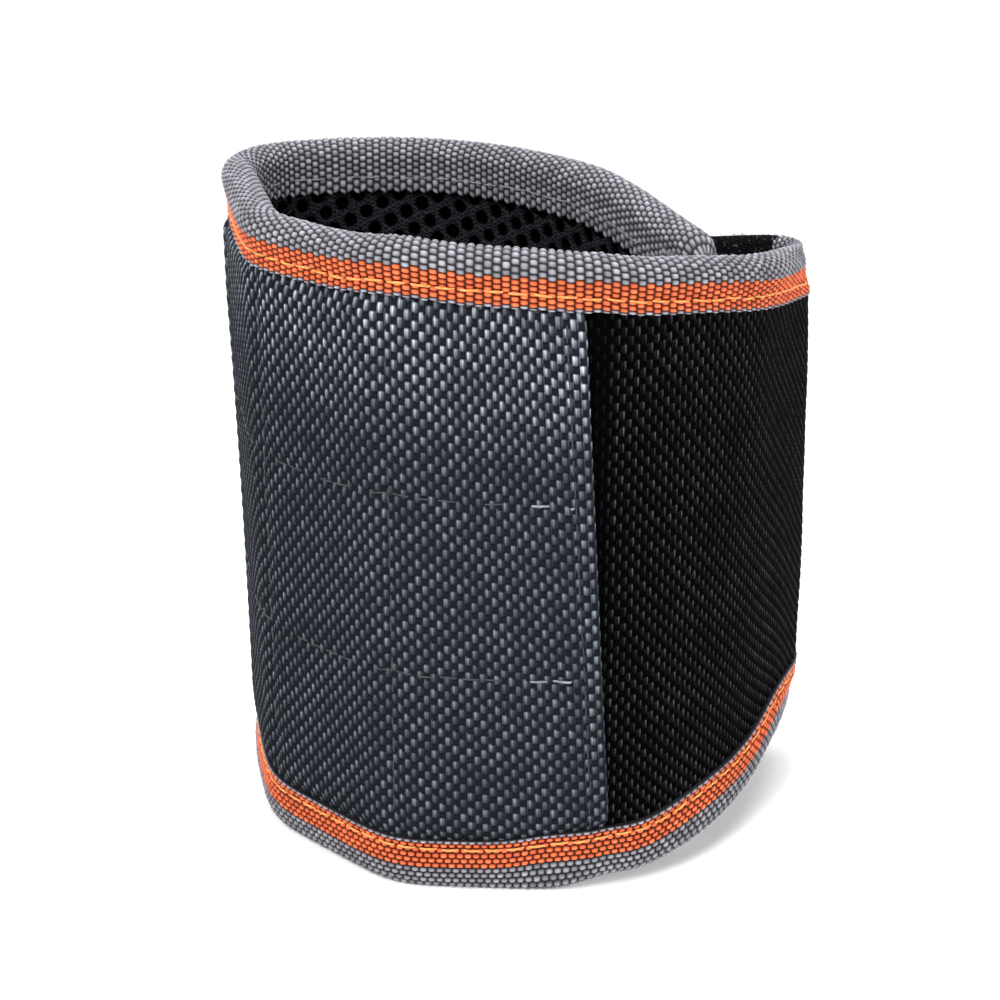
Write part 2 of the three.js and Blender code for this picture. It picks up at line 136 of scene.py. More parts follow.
class TapeSizes(bpy.types.PropertyGroup):
    """The woven tape that binds the edges"""
    upper_leg: length("Upper leg", 6.7, "Height of the upper binding on the outer face")
    lower_leg: length("Lower leg", 7.9, "Height of the lower binding on the outer face")
    inner_leg: length("Inner leg", 7.2, "Visible height on the inner face")
    roll: length("Roll radius", 2.6, "Radius of the bound edge")
    lean: length("Lean", 0.3, "How far the outer leg leans in to the cloth")
    column: length("Rib pitch", 1.08, "Distance between ribs along the tape")
    relief: length("Rib relief", 0.36, "Height of a rib's float over its valley")
    orange_rows: IntProperty(name="Orange rows", description="Rows of orange floats", default=5)
    upper_stitch: number("Upper stitch row", 2.8, "Row of the upper seam")
    lower_stitch: number("Lower stitch row", 2.2, "Row of the lower seam")
    pip: length("Selvedge pip", 0.45, "Length of the pale floats at the outer selvedge")
    fine_row: length("Fine row", 0.72, "Length of a float in the orange stripe")
    long_row: length("Long row", 0.95, "Length of a float on the roll and the inner leg")
    last_row: length("Last row", 1.4, "Length of the floats at the inner selvedge")
    pinch: length("Pinch", 0.2, "How far the seam draws the tape in")
    pinch_width: length("Pinch width", 0.7, "How far from the seam the tape is drawn in")
    fold_press: share("Fold press", 0.3, "How much flatter the bound edge is in the fold")
    corner_tuck: length("Corner tuck", 1.2, "How far the outer leg lies closer at the corner")
    corner_reach: length("Corner reach", 14, "How far along the band the corner's tuck spreads")
    fold_tuck: length("Fold tuck", 1.4, "How far the bound edge lies closer at the fold")
    fold_reach: length("Fold reach", 10, "How far along the band the fold's tuck spreads")
    tuck_middle: length("Tuck middle", 9, "From the pockets' or the fold's end to its tuck")


class ClothSizes(bpy.types.PropertyGroup):
    """The plain-woven cover cloth"""
    across: length("Yarn pitch along", 0.87, "Distance between upright yarns")
    upright: length("Yarn pitch up", 1.11, "Distance between level yarns")
    slate_slope: share("Slate slope", 0.13, "Fall of the level yarns towards the hem")
    black_slope: share("Black slope", 0.08, "Rise of the level yarns towards the fold")
    relief: length("Weave relief", 0.24, "Height of a float over its valley")
    seam_pull: length("Seam pull", 0.5, "How far a pocket seam draws the cloth in")
    seam_width: length("Seam width", 3.0, "From a seam to the pillow's top")
    stitch_pull: length("Stitch pull", 0.3, "How far a hem's seam draws the cloth in")
    ripple: length("Ripple", 0.12, "Unevenness of the pocket cloth")
    edge_roll: length("Folded edge", 0.65, "Radius of the cloth's folded edge")
    hem_rise: length("Hem rise", 0.7, "How much prouder the folded edge stands")
    hem_slant: length("Hem slant", 2.57, "How far the hem's top leans to the pockets, and its foot away")
    hem_stitch: length("Hem stitch", 2.1, "From the folded edge to its seam")


class MeshSizes(bpy.types.PropertyGroup):
    """The knitted air-mesh lining"""
    pitch: length("Hole pitch", 2.82, "Distance between neighbouring holes")
    hole: length("Hole radius", 1.05, "Radius of a hole at its rim")
    depth: length("Hole depth", 1.3, "Depth of a hole")


class StitchSizes(bpy.types.PropertyGroup):
    """The seams"""
    pitch: length("Stitch pitch", 2.9, "Distance between stitches")
    reach: length("Stitch length", 2.45, "Length of thread that shows")
    wander: length("Wander", 0.07, "How far a stitch's end strays from its row")
    thread: length("Thread radius", 0.16, "On the tape and at the pockets' open end")
    fine_thread: length("Fine thread radius", 0.12, "In the pocket seams")
    margin: length("Seam margin", 7.5, "From the band's edges to the upright seams' ends")
    pale_end: length("Pale end", 9, "Stretch of the level seams sewn in pale thread")
    inner_inset: length("Inner inset", 2.1, "From the inner selvedge to its seam")


class WristbandColours(bpy.types.PropertyGroup):
    """Colours of the cloth, tape and thread"""
    tape_grey: colour("Tape grey", (0.268, 0.264, 0.297), "Ribs of the tape")
    tape_pale: colour("Tape selvedge", (0.33, 0.31, 0.36), "Floats at the tape's outer selvedge")
    tape_orange: colour("Tape orange", (0.93, 0.165, 0.06), "Stripe of the tape")
    slate: colour("Slate cloth", (0.011, 0.013, 0.017), "Pocket cloth")
    # Painted highlight colour: the cloth finish lays it on the lit side and the top of the slate's upright
    # floats
    slate_light: colour("Slate highlights", (0.60, 0.66, 0.75), "Crests of the pocket cloth")
    black: colour("Black cloth", (0.0012, 0.0012, 0.0015), "Plain panel and tail")
    # Painted highlight colour of the black cloth, laid on its upright floats the same way
    black_light: colour("Black highlights", (0.10, 0.10, 0.11), "Crests of the black cloth")
    mesh: colour("Air mesh", (0.007, 0.0075, 0.009), "Knitted lining")
    mesh_light: colour("Air mesh loops", (0.038, 0.040, 0.047), "Crests of the knitted lining")
    orange_thread: colour("Orange thread", (1.0, 0.42, 0.12), "Seam on the orange stripe")
    pale_thread: colour("Pale thread", (0.30, 0.31, 0.34), "Seams at the pockets' open end")
    grey_thread: colour("Grey thread", (0.30, 0.29, 0.32), "Seam on the inner leg")
    dark_thread: colour("Dark thread", (0.045, 0.05, 0.055), "Seams sunk in the pocket cloth")
    pile: colour("Pile", (0.006, 0.006, 0.007), "Strap and its pile")
    pile_fleck: colour("Pile flecks", (0.24, 0.24, 0.25), "Specks in the pile")
    nickel: colour("Nickel", (0.62, 0.61, 0.58), "Magnets")
    interlining: colour("Interlining", (0.68, 0.68, 0.65), "Non-woven sheet behind the magnets")


class StudioSettings(bpy.types.PropertyGroup):
    """Camera, lamps and floor"""
    camera_x: length("Camera X", 16.34, "Camera place")
    camera_y: length("Camera Y", -237.6, "Camera place")
    camera_z: length("Camera Z", 156.5, "Camera place")
    swing: turn("Swing", 3.354, "Look direction, to the left of +Y")
    tilt: turn("Tilt", 22.906, "Look direction, below the horizon")
    roll: turn("Roll", 0.098, "Camera turned about its look direction")
    lens: number("Lens", 74.67, "Focal length in millimetres")
    key: number("Key lamp", 3.4, "Power in watts")
    fill: number("Fill lamp", 1.5, "Power in watts")
    top: number("Top lamp", 2.8, "Power in watts")
    sky: number("Sky", 0.32, "Strength of the even light")
    floor_glow: number("Floor glow", 0.22, "Strength of the light that the floor adds by itself")


GROUPS = {
    "band": BandSizes,
    "tape": TapeSizes,
    "cloth": ClothSizes,
    "air_mesh": MeshSizes,
    "stitches": StitchSizes,
    "colours": WristbandColours,
    "studio": StudioSettings,
}


class Wristband(bpy.types.PropertyGroup):
    """All settings of the wristband"""
    __annotations__ = {name: PointerProperty(type=group) for name, group in GROUPS.items()}


def settings():
    return bpy.context.scene.wristband


# The band's plan: a line from the fold's end (negative) over the hem (0) to the tail's tip

STEP = 0.1 * MM
MAGNET_ROWS = 3
MAGNET_COLUMNS = 3
TAPE = 0.8 * MM  # thickness of the binding tape
TAPE_LEG = 7 * MM  # height of the solid bindings on each face
POCKET_MARGIN = 0.75 * MM  # from the bindings to the outer pockets' seams
PAD_SLOPE = 4 * MM  # stretch over which the plump lining thins out
# The soft band's humps, each by its middle along the band, its width and its rise, in millimetres
UPPER_SAG = ((-2, 9, 0.9), (25, 7, -0.9))
LOWER_SAG = ((-1.5, 4.5, 1.3), (-38, 7, 1.5))
LOWER_STRETCH = ((5, 5, 1.2), (-18, 10, 1.15), (-40, 9, 1.1))
CORNER_LEAN = ((84, 14, 1.4),)
# Its foot beside the fold leans out: how far, where that starts from the hem, and where it stops
FOLD_LEAN, FOLD_LEAN_STARTS, FOLD_LEAN_STOPS = 1.4 * MM, (25 * MM, 42 * MM), (6 * MM, 1 * MM)
# From the tape's selvedge: where the cloth is pressed down by the tape, and where its own form begins
PRESSED, OWN_FORM = (-0.8 * MM, 1.5 * MM), (-0.5 * MM, 2.5 * MM)
HEM_SLANT_ENDS = (2 * MM, 22 * MM)
STRAP_UNDER_BINDING = 1.2 * MM


def smooth(value, low, high):
    t = np.clip((value - low) / (high - low), 0, 1)
    return t * t * (3 - 2 * t)


def bell(value, middle, width):
    """1 at the middle, falling smoothly to 0 on both sides"""
    return np.exp(-((value - middle) / width) ** 2)


def humps(value, rows):
    total = 0 * value
    for middle, width, rise in rows:
        total = total + rise * MM * bell(value, middle * MM, width * MM)
    return total


def heading_vector(angle):
    return np.array([math.cos(angle), math.sin(angle)])


class Walk:
    """A walk in plan that leaves close-set points behind it"""

    def __init__(self, x, y, heading):
        self.points = [np.array([[x, y]])]
        self.heading = heading

    @property
    def here(self):
        return self.points[-1][-1]

    def bend(self, reach, angle=0.0):
        t = np.linspace(0, 1, max(3, int(reach / STEP)))[1:]
        if angle:
            radius, end = reach / angle, self.heading + angle * t
            x = radius * (np.sin(end) - math.sin(self.heading))
            y = -radius * (np.cos(end) - math.cos(self.heading))
        else:
            x, y = reach * t * math.cos(self.heading), reach * t * math.sin(self.heading)
        self.points.append(self.here + np.stack([x, y], axis=1))
        self.heading += angle

    def sweep_to(self, point, heading, start_share, end_share):
        """A cubic curve to a point, its handles in shares of the chord"""
        chord = np.linalg.norm(point - self.here)
        a, d = self.here, point
        b = a + heading_vector(self.heading) * chord * start_share
        c = d - heading_vector(heading) * chord * end_share
        t = np.linspace(0, 1, int(chord / STEP))[1:, None]
        curve = (1 - t) ** 3 * a + 3 * (1 - t) ** 2 * t * b + 3 * (1 - t) * t ** 2 * c + t ** 3 * d
        self.points.append(curve)
        self.heading = heading

    def path(self):
        return np.concatenate(self.points)


class Line:
    """A line in plan with a marked length, the side that faces the wrist, and how far it leans"""

    def __init__(self, points, inward_side, start=0.0, soften=0.0, lean=lambda s, height: 0.0):
        steps = np.linalg.norm(np.diff(points, axis=0), axis=1)
        marks = np.concatenate([[0], np.cumsum(steps)])
        self.marks = np.linspace(0, marks[-1], int(marks[-1] / STEP))
        xy = np.stack([np.interp(self.marks, marks, points[:, k]) for k in (0, 1)], axis=1)
        if soften:
            reach = int(3 * soften / STEP)
            kernel = np.exp(-0.5 * (np.arange(-reach, reach + 1) * STEP / soften) ** 2)
            kernel /= kernel.sum()
            before = 2 * xy[0] - xy[reach:0:-1]
            after = 2 * xy[-1] - xy[-2:-reach - 2:-1]
            padded = np.concatenate([before, xy, after])
            xy = np.stack([np.convolve(padded[:, k], kernel, "valid") for k in (0, 1)], axis=1)
        tangent = np.gradient(xy, axis=0)
        tangent /= np.linalg.norm(tangent, axis=1)[:, None]
        self.xy, self.tangent, self.side, self.lean = xy, tangent, inward_side, lean
        self.marks = self.marks + start
        self.start, self.end = self.marks[0], self.marks[-1]

    def read(self, s, table):
        return np.stack([np.interp(s, self.marks, table[:, k]) for k in (0, 1)], axis=-1)

    def along(self, s):
        return self.read(s, self.tangent)

    def inward(self, s):
        t = self.along(s)
        return self.side * np.stack([-t[..., 1], t[..., 0]], axis=-1)

    def outward(self, s):
        """The outward normal in space"""
        n = -self.inward(s)
        return np.concatenate([n, np.zeros(n.shape[:-1] + (1,))], axis=-1)

    def plan(self, s, depth):
        past = s - np.clip(s, self.start, self.end)
        offset = self.inward(s) * np.asarray(depth)[..., None] + self.along(s) * past[..., None]
        return self.read(s, self.xy) + offset

    def place(self, s, height, depth):
        s, height, depth = np.broadcast_arrays(s, height, depth)
        xy = self.plan(s, depth + self.lean(s, height))
        return np.concatenate([xy, (height - settings().band.rest_cut)[..., None]], axis=-1)


class Plan:
    """The whole band in plan: its lines, its marks and its layers' depths"""

    def __init__(self, b):
        tape = settings().tape
        self.height = b.height
        self.edge_depth = b.fabric + b.seat + b.padding
        self.roll_depth = self.edge_depth / 2
        self.pad_depth = b.fabric + b.seat
        self.backing_depth = 2 * b.seat + b.magnet_thickness
        self.plump_depth = self.backing_depth + b.backing + b.seat
        self.cloth_edge = tape.roll
        self.column_pitch = b.column_flat + b.column_bend
        self.pocket_end = 2 * b.hem + MAGNET_COLUMNS * self.column_pitch - b.column_bend
        self.tail_flex = self.pocket_end + b.tail_seam
        self.pad_start = TAPE_LEG + b.seat
        lead_points = self.lead_walk(b).path()
        lead = Line(lead_points, 1)
        panel_face = self.edge_depth + b.seat + TAPE
        inward = lead.inward(b.tip_along)
        tip_heading = math.atan2(inward[1], inward[0]) + math.pi - b.tip_lean
        reach = panel_face + b.tip_gap + tape.roll * math.sin(b.tip_lean)
        tip = lead.plan(np.array(b.tip_along), 0.0) + inward * reach
        tip = tip + heading_vector(tip_heading + math.pi / 2) * self.roll_depth
        wrap_walk = self.hem_walk(b, math.pi)
        wrap_walk.bend(b.hem, -b.hem_curve)
        wrap_walk.bend(b.column_flat)
        for angle in (b.first_turn, b.second_turn):
            wrap_walk.bend(b.column_bend, -angle)
            wrap_walk.bend(b.column_flat)
        wrap_walk.bend(b.hem + b.tail_seam)
        wrap_walk.bend(b.corner_radius * b.corner_turn, -b.corner_turn)
        wrap_walk.sweep_to(tip, tip_heading, b.back_handle, b.tip_handle)
        wrap_points = wrap_walk.path()
        self.lead_length = lead.end
        whole = np.concatenate([lead_points[::-1], wrap_points[1:]])
        self.band = Line(whole, -1, -self.lead_length, b.soften, self.lean)
        self.tail_end = self.band.end - b.tip_inset
        self.ribs = (math.ceil(-self.lead_length / tape.column), math.floor(self.tail_end / tape.column))
        self.fold_flex = self.lead_length - b.fold_radius * (b.fold_turn - b.fold_to_hinge)
        wrap = Line(wrap_points, -1)
        self.strap_face = self.pad_depth + b.strap_web
        standoff = self.strap_face + 2 * b.pile + 3 * b.seat
        landing = wrap.end - b.strap_landing
        pressed_marks = np.arange(landing, landing - b.strap_on_tail, -STEP)
        pressed = wrap.plan(pressed_marks, np.full(len(pressed_marks), -standoff))
        strap_walk = self.lead_walk(b)
        along = wrap.along(landing)
        strap_walk.sweep_to(pressed[0], math.atan2(-along[1], -along[0]), b.strap_handle, b.strap_handle)
        strap_walk.points.append(pressed[1:])
        self.strap = Line(strap_walk.path(), 1, soften=b.soften)

    def hem_walk(self, b, heading):
        """A walk from the hem, which bends beside the first magnet's straight face"""
        radius = b.hem / b.hem_curve
        x = b.column_flat / 2 + radius * math.sin(b.hem_curve)
        return Walk(x, radius * (1 - math.cos(b.hem_curve)) - self.roll_depth, heading + b.hem_curve)

    def lead_walk(self, b):
        walk = self.hem_walk(b, 0.0)
        walk.bend(b.hem_turn_length, b.hem_turn)
        walk.bend(b.panel_radius * b.panel_turn, b.panel_turn)
        walk.bend(b.panel_reach)
        walk.bend(b.fold_radius * b.fold_turn, b.fold_turn)
        return walk

    def edge(self, u):
        """Height of the band's lower edge; the upper edge mirrors it"""
        b = settings().band
        lead = np.clip((-u - b.taper_start) * b.taper_slope, 0, b.taper_most)
        tail = b.tail_taper * smooth(u, self.tail_end - b.tail_taper_length, self.tail_end)
        into_corner = np.clip((u - self.tail_end) / b.tail_corner + 1, 0, 0.9)
        return np.where(u < 0, lead, tail + b.tail_corner * (1 - np.sqrt(1 - into_corner ** 2)))

    def press(self, u):
        """The bound edge's thickness as a share: it thins out at both ends and is flatter in the fold"""
        b, tape = settings().band, settings().tape
        first, last = (rib * tape.column for rib in self.ribs)
        t = np.clip(np.minimum(u - first, last - u) / tape.roll, 0, 1)
        fold = bell(u, b.fold_radius * b.fold_turn / 2 - self.lead_length, b.fold_radius)
        return np.sqrt(np.clip(1 - (1 - t) ** 2, 0.001, 1)) * (1 - tape.fold_press * fold)

    def tuck(self, u, height):
        """How much closer to the padding a bound edge lies at the corner and at the fold"""
        tape = settings().tape
        corner = tape.corner_tuck * bell(u, self.pocket_end + tape.tuck_middle, tape.corner_reach)
        fold = tape.fold_tuck * bell(u, tape.tuck_middle - self.lead_length, tape.fold_reach)
        on_leg = smooth(height, 0.4 * tape.roll, 1.4 * tape.roll)
        return corner * (0.35 + 0.65 * on_leg) + fold * (1 - 0.8 * smooth(height, tape.roll, tape.upper_leg))

    def under_tape(self, u, height):
        """How far a tucked edge presses the cloth in, and how free of the tape the cloth is, 0 to 1"""
        tape = settings().tape
        from_edge = np.minimum(height, self.height - height)
        leg = np.where(height > self.height / 2, tape.upper_leg, tape.lower_leg + humps(u, LOWER_STRETCH))
        pressed = self.tuck(u, from_edge) * (1 - smooth(from_edge - leg, *PRESSED))
        return pressed, smooth(from_edge - leg, *OWN_FORM)

    def lean(self, u, height):
        """How far the soft band leans in from the solid one towards its foot, and out where negative"""
        stops = smooth(-u, *(self.lead_length - mark for mark in FOLD_LEAN_STOPS))
        at_fold = FOLD_LEAN * smooth(-u, *FOLD_LEAN_STARTS) * (1 - stops)
        to_foot = 1 - np.clip(height / self.height / 0.8, 0, 1) ** 2.5
        return (humps(u, CORNER_LEAN) - at_fold) * to_foot

    def drawn_in(self, u, height):
        """Height of a point of the flat cloth once the band's edges are drawn in and sag"""
        half, up = self.height / 2, height / self.height
        even = half + (height - half) * ((half - self.edge(u)) / half)
        return even + humps(u, LOWER_SAG) * (1 - up) - humps(u, UPPER_SAG) * up

    def lining_face(self, u, height):
        """Depth of the lining's face: plump behind the magnets, thin at the bound edges and past the hems"""
        b = settings().band
        from_edge = np.minimum(height, self.height - height)
        across = smooth(from_edge, self.pad_start, self.pad_start + PAD_SLOPE)
        past_hem = smooth(u, self.pocket_end, self.tail_flex + PAD_SLOPE)
        along = np.minimum(smooth(u, -PAD_SLOPE, PAD_SLOPE), 1 - past_hem)
        full = self.plump_depth + b.plump_padding
        return self.edge_depth + (full - self.edge_depth) * (across * along)

    def hem_lean(self, u, height):
        """How far the slanting hem shifts the pocket cloth along the band"""
        half = self.height / 2
        return settings().cloth.hem_slant * (height - half) / half * (1 - smooth(u, *HEM_SLANT_ENDS))

    def strap_edge(self, s):
        """Height of the closure strap's lower edge, which is sewn in under the fold's binding"""
        return self.edge(-s) + np.where(s > self.lead_length - STRAP_UNDER_BINDING, 0, self.cloth_edge)

    def seam_marks(self):
        """Where the pockets' upright and level seams run"""
        b = settings().band
        first = b.hem + b.column_flat + b.column_bend / 2
        pitch = (b.height - 2 * (TAPE_LEG + POCKET_MARGIN)) / MAGNET_ROWS
        return (first, first + self.column_pitch), (b.height / 2 - pitch / 2, b.height / 2 + pitch / 2)


PLAN = {}


def plan():
    if not PLAN:
        PLAN["now"] = Plan(settings().band)
    return PLAN["now"]


# Mesh making

def grid_faces(rows, columns, flip=False):
    i, j = np.meshgrid(np.arange(rows - 1), np.arange(columns - 1), indexing="ij")
    a = (i * columns + j).ravel()
    quad = [a, a + columns, a + columns + 1, a + 1]
    return np.stack(quad[::-1] if flip else quad, axis=1)


def put(name, data):
    """A new object in the scene"""
    made = bpy.data.objects.new(name, data)
    bpy.context.scene.collection.objects.link(made)
    return made


def new_piece(name, points, faces, finish_name, lay, **layers):
    """A mesh object from arrays. lay is its weave coordinates, and layers are values at its points"""
    mesh = bpy.data.meshes.new(name)
    points = np.asarray(points, np.float32).reshape(-1, 3)
    mesh.vertices.add(len(points))
    mesh.vertices.foreach_set("co", points.ravel())
    mesh.loops.add(faces.size)
    mesh.loops.foreach_set("vertex_index", faces.astype(np.int32).ravel())
    mesh.polygons.add(len(faces))
    mesh.polygons.foreach_set("loop_start", np.arange(0, faces.size, faces.shape[1], dtype=np.int32))
    mesh.update(calc_edges=True)
    layer = mesh.uv_layers.new(name="Lay")
    layer.data.foreach_set("uv", np.asarray(lay, np.float32).reshape(-1, 2)[faces.ravel()].ravel())
    for label, values in layers.items():
        layer = mesh.attributes.new(label, "FLOAT", "POINT")
        layer.data.foreach_set("value", np.asarray(values, np.float32).ravel())
    mesh.validate()
    mesh.shade_smooth()
    mesh.materials.append(finish(finish_name))
    return put(name, mesh)


def tubes(paths, normals, radius, sides=6):
    """Round threads along many short paths of equal point count, thinned at both ends"""
    count, rings, _ = paths.shape
    tangent = np.gradient(paths, axis=1)
    tangent /= np.linalg.norm(tangent, axis=2, keepdims=True)
    across = np.cross(tangent, normals)
    across /= np.linalg.norm(across, axis=2, keepdims=True)
    up = np.cross(across, tangent)
    angle = np.linspace(0, 2 * math.pi, sides, endpoint=False)
    swell = np.full(rings, radius)
    swell[[0, -1]] *= 0.45
    ring = np.cos(angle)[:, None] * up[:, :, None] + np.sin(angle)[:, None] * across[:, :, None]
    points = paths[:, :, None] + ring * swell[None, :, None, None]
    i, j = np.meshgrid(np.arange(rings - 1), np.arange(sides), indexing="ij")
    a, b = i * sides + j, i * sides + (j + 1) % sides
    quads = np.stack([a, b, b + sides, a + sides], axis=-1).reshape(-1, 4)
    faces = (quads[None] + (np.arange(count) * rings * sides)[:, None, None]).reshape(-1, 4)
    lay = np.stack(np.meshgrid(np.arange(rings), np.arange(sides), indexing="ij"), axis=-1)
    return points.reshape(-1, 3), faces, np.broadcast_to(lay, (count, rings, sides, 2))


# Finishes

def rgba(value):
    return value if isinstance(value, bpy.types.NodeSocket) else (*value, 1)


class Nodes:
    """A node tree, made from left to right"""

    def __init__(self, tree):
        self.tree = tree

    def add(self, kind, outlet=0, values=None, **inputs):
        """A node's outlet. Inputs go by name, or as i0, i1 and so on by number"""
        node = self.tree.nodes.new(kind)
        for name, value in (values or {}).items():
            setattr(node, name, value)
        for key, value in inputs.items():
            self.feed(node.inputs[int(key[1:]) if key[0] == "i" and key[1:].isdigit() else key], value)
        return node.outputs[outlet]

    def feed(self, socket, value):
        if isinstance(value, bpy.types.NodeSocket):
            self.tree.links.new(value, socket)
        else:
            socket.default_value = value

    def math(self, operation, a, b=0.0, c=0.0):
        return self.add("ShaderNodeMath", values={"operation": operation}, i0=a, i1=b, i2=c)

    def times(self, value, *factors):
        for factor in factors:
            value = self.math("MULTIPLY", value, factor)
        return value

    def wave(self, value, pace):
        return self.math("SINE", self.times(value, pace))

    def ramp(self, value, low, high, bottom=0.0, top=1.0):
        return self.add("ShaderNodeMapRange", i0=value, i1=low, i2=high, i3=bottom, i4=top)

    def place(self):
        return self.add("ShaderNodeTexCoord", "Object")

    def seen(self):
        """1 for rays from the camera, off a mirror or through glass, and 0 for the light itself"""
        rays = self.tree.nodes.new("ShaderNodeLightPath").outputs
        direct_or_mirrored = self.math("MAXIMUM", rays["Is Camera Ray"], rays["Is Glossy Ray"])
        return self.math("MAXIMUM", direct_or_mirrored, rays["Is Transmission Ray"])


class Finish(Nodes):
    """A material's nodes"""

    def __init__(self, name, rough, ior=1.45, metal=0.0):
        self.material = bpy.data.materials.new(name)
        self.material.use_nodes = True
        super().__init__(self.material.node_tree)
        self.shader = self.tree.nodes["Principled BSDF"]
        for socket, value in (("Roughness", rough), ("IOR", ior), ("Metallic", metal)):
            self.shader.inputs[socket].default_value = value

    def mix(self, factor, a, b):
        return self.add("ShaderNodeMix", 2, {"data_type": "RGBA"}, i0=factor, i6=rgba(a), i7=rgba(b))

    def darken(self, paint, factor):
        grey = self.add("ShaderNodeCombineColor", i0=factor, i1=factor, i2=factor)
        values = {"data_type": "RGBA", "blend_type": "MULTIPLY"}
        return self.add("ShaderNodeMix", 2, values, i0=1.0, i6=rgba(paint), i7=grey)

    def lay(self):
        """The weave's own coordinates"""
        parts = self.tree.nodes.new("ShaderNodeSeparateXYZ")
        self.feed(parts.inputs[0], self.add("ShaderNodeUVMap", values={"uv_map": "Lay"}))
        return parts.outputs[0], parts.outputs[1]

    def noise(self, scale, detail=2.0, rough=0.5):
        place = self.place()
        return self.add("ShaderNodeTexNoise", Vector=place, Scale=scale, Detail=detail, Roughness=rough)

    def speckle(self, a, b):
        """A number that differs from float to float"""
        cell = self.add("ShaderNodeCombineXYZ", i0=a, i1=b)
        return self.add("ShaderNodeTexWhiteNoise", 0, {"noise_dimensions": "2D"}, Vector=cell)

    def layer(self, name):
        return self.add("ShaderNodeAttribute", 2, {"attribute_name": name})

    def colour(self, value):
        self.feed(self.shader.inputs["Base Color"], rgba(value))

    def bump(self, height, distance, strength=0.8):
        """distance in millimetres"""
        normal = self.add("ShaderNodeBump", Height=height, Distance=distance * MM, Strength=strength)
        self.feed(self.shader.inputs["Normal"], normal)


def tape_finish(c):
    """Ribbed tape: grey floats with an orange stripe beside the pale outer selvedge"""
    f = Finish("ribbed_tape", rough=0.45, ior=1.22)
    u, v = f.lay()
    column = f.math("FLOOR", u)
    odd = f.math("MODULO", f.math("ABSOLUTE", column), 2.0)
    row = f.math("FLOOR", f.math("MULTIPLY_ADD", odd, 0.5, v))
    after = f.math("GREATER_THAN", row, 0.5)
    before = f.math("LESS_THAN", row, settings().tape.orange_rows + 0.5)
    paint = f.mix(f.times(after, before), f.mix(after, c.tape_pale, c.tape_grey), c.tape_orange)
    paint = f.darken(paint, f.ramp(f.speckle(column, row), 0, 1, 0.88, 1.12))
    # Painted shade and highlight: each float is painted dark at its foot, in the gaps and at the rims, and
    # brighter than its colour at its crest
    painted_bead_light = f.math("POWER", f.math("MAXIMUM", f.layer("crest"), 0.0), 1.6)
    f.colour(f.darken(paint, f.ramp(painted_bead_light, 0.0, 1.0, 0.05, 1.45)))
    f.bump(f.math("MULTIPLY_ADD", f.wave(u, 38.0), 0.5, f.noise(5200.0)), 0.05)
    return f


def cloth_finish(c, name, lit_side, spread, hem_painted_light, foot):
    """Plain weave of thick filament yarns: painted highlights on the upright floats, painted shade in the
    gaps, level floats stay dark
    """
    f = Finish(name + "_cloth", rough=0.5, ior=1.03)
    u, v = f.lay()
    upright = f.layer("upright")
    # Painted highlight: a glint painted on the lit side of each upright float, centred at lit_side across it
    # and falling off over spread
    side = f.math("ABSOLUTE", f.math("SUBTRACT", f.math("FRACT", u), lit_side))
    glint = f.math("POWER", f.ramp(side, 0.04, spread, 1.0, 0.3), 2.0)
    patch = f.ramp(f.noise(90.0, 4.0, 0.6), 0.3, 0.7, 0.75, 1.2)
    float_tone = f.ramp(f.speckle(f.math("FLOOR", u), f.math("FLOOR", v)), 0, 1, 0.45, 1.3)
    strand_tone = f.ramp(f.wave(u, 15.0), -1.0, 1.0, 0.6, 1.15)
    # Painted shade: the painted highlights dim towards the cloth's foot, down to the foot share
    low_down = f.ramp(v, 54.0, 68.0, foot, 1.0)
    # How much painted highlight each point gets: the glint, random patches, float and strand variation, the
    # painted light by the hem and the painted shade low down
    painted_highlight = f.times(patch, float_tone, glint, strand_tone, f.ramp(u, *hem_painted_light), low_down)
    paint = f.mix(f.times(upright, painted_highlight), getattr(c, name), getattr(c, name + "_light"))
    # Painted shade in the gaps between the floats, with a faint painted highlight on their crests, from the
    # relief's crest
    f.colour(f.darken(paint, f.ramp(f.layer("crest"), 0.05, 0.7, 0.1, 1.1)))
    is_upright = f.math("GREATER_THAN", upright, 0.01)
    strands = f.add("ShaderNodeMix", 0, i0=is_upright, i2=f.wave(v, 50.0), i3=f.wave(u, 40.0))
    f.bump(f.math("MULTIPLY_ADD", strands, 0.6, f.noise(6000.0)), 0.04)
    return f


def mesh_finish(c):
    """Knitted face of the air mesh, its holes darkened with painted shade to near black at their bottom"""
    f = Finish("air_mesh", rough=0.8, ior=1.05)
    u, v = f.lay()
    wander = f.noise(700.0)
    lines = []
    for slant in (6.0, -6.0):
        line = f.math("MULTIPLY_ADD", v, 12.0, f.times(u, slant))
        lines.append(f.math("SINE", f.math("MULTIPLY_ADD", wander, 14.0, line)))
    knit = f.times(f.math("MAXIMUM", *lines), f.ramp(f.noise(1800.0), 0.3, 0.7, 0.2, 1.0))
    paint = f.mix(f.ramp(knit, 0.0, 1.0), c.mesh, c.mesh_light)
    # Painted shade: the holes darken towards their bottom
    f.colour(f.darken(paint, f.ramp(f.layer("crest"), 0.1, 1.0, 0.02, 1.0)))
    f.bump(knit, 0.12)
    return f


def pile_finish(c):
    """Brushed black pile with lint on it"""
    f = Finish("brushed_pile", rough=0.9, ior=1.1)
    fuzz = f.noise(2600.0, 4.0, 0.65)
    paint = f.mix(f.ramp(f.noise(3800.0, 1.0), 0.63, 0.80), c.pile, c.pile_fleck)
    f.colour(f.darken(paint, f.ramp(fuzz, 0.3, 0.7, 0.4, 1.5)))
    f.bump(fuzz, 0.35, 0.9)
    return f


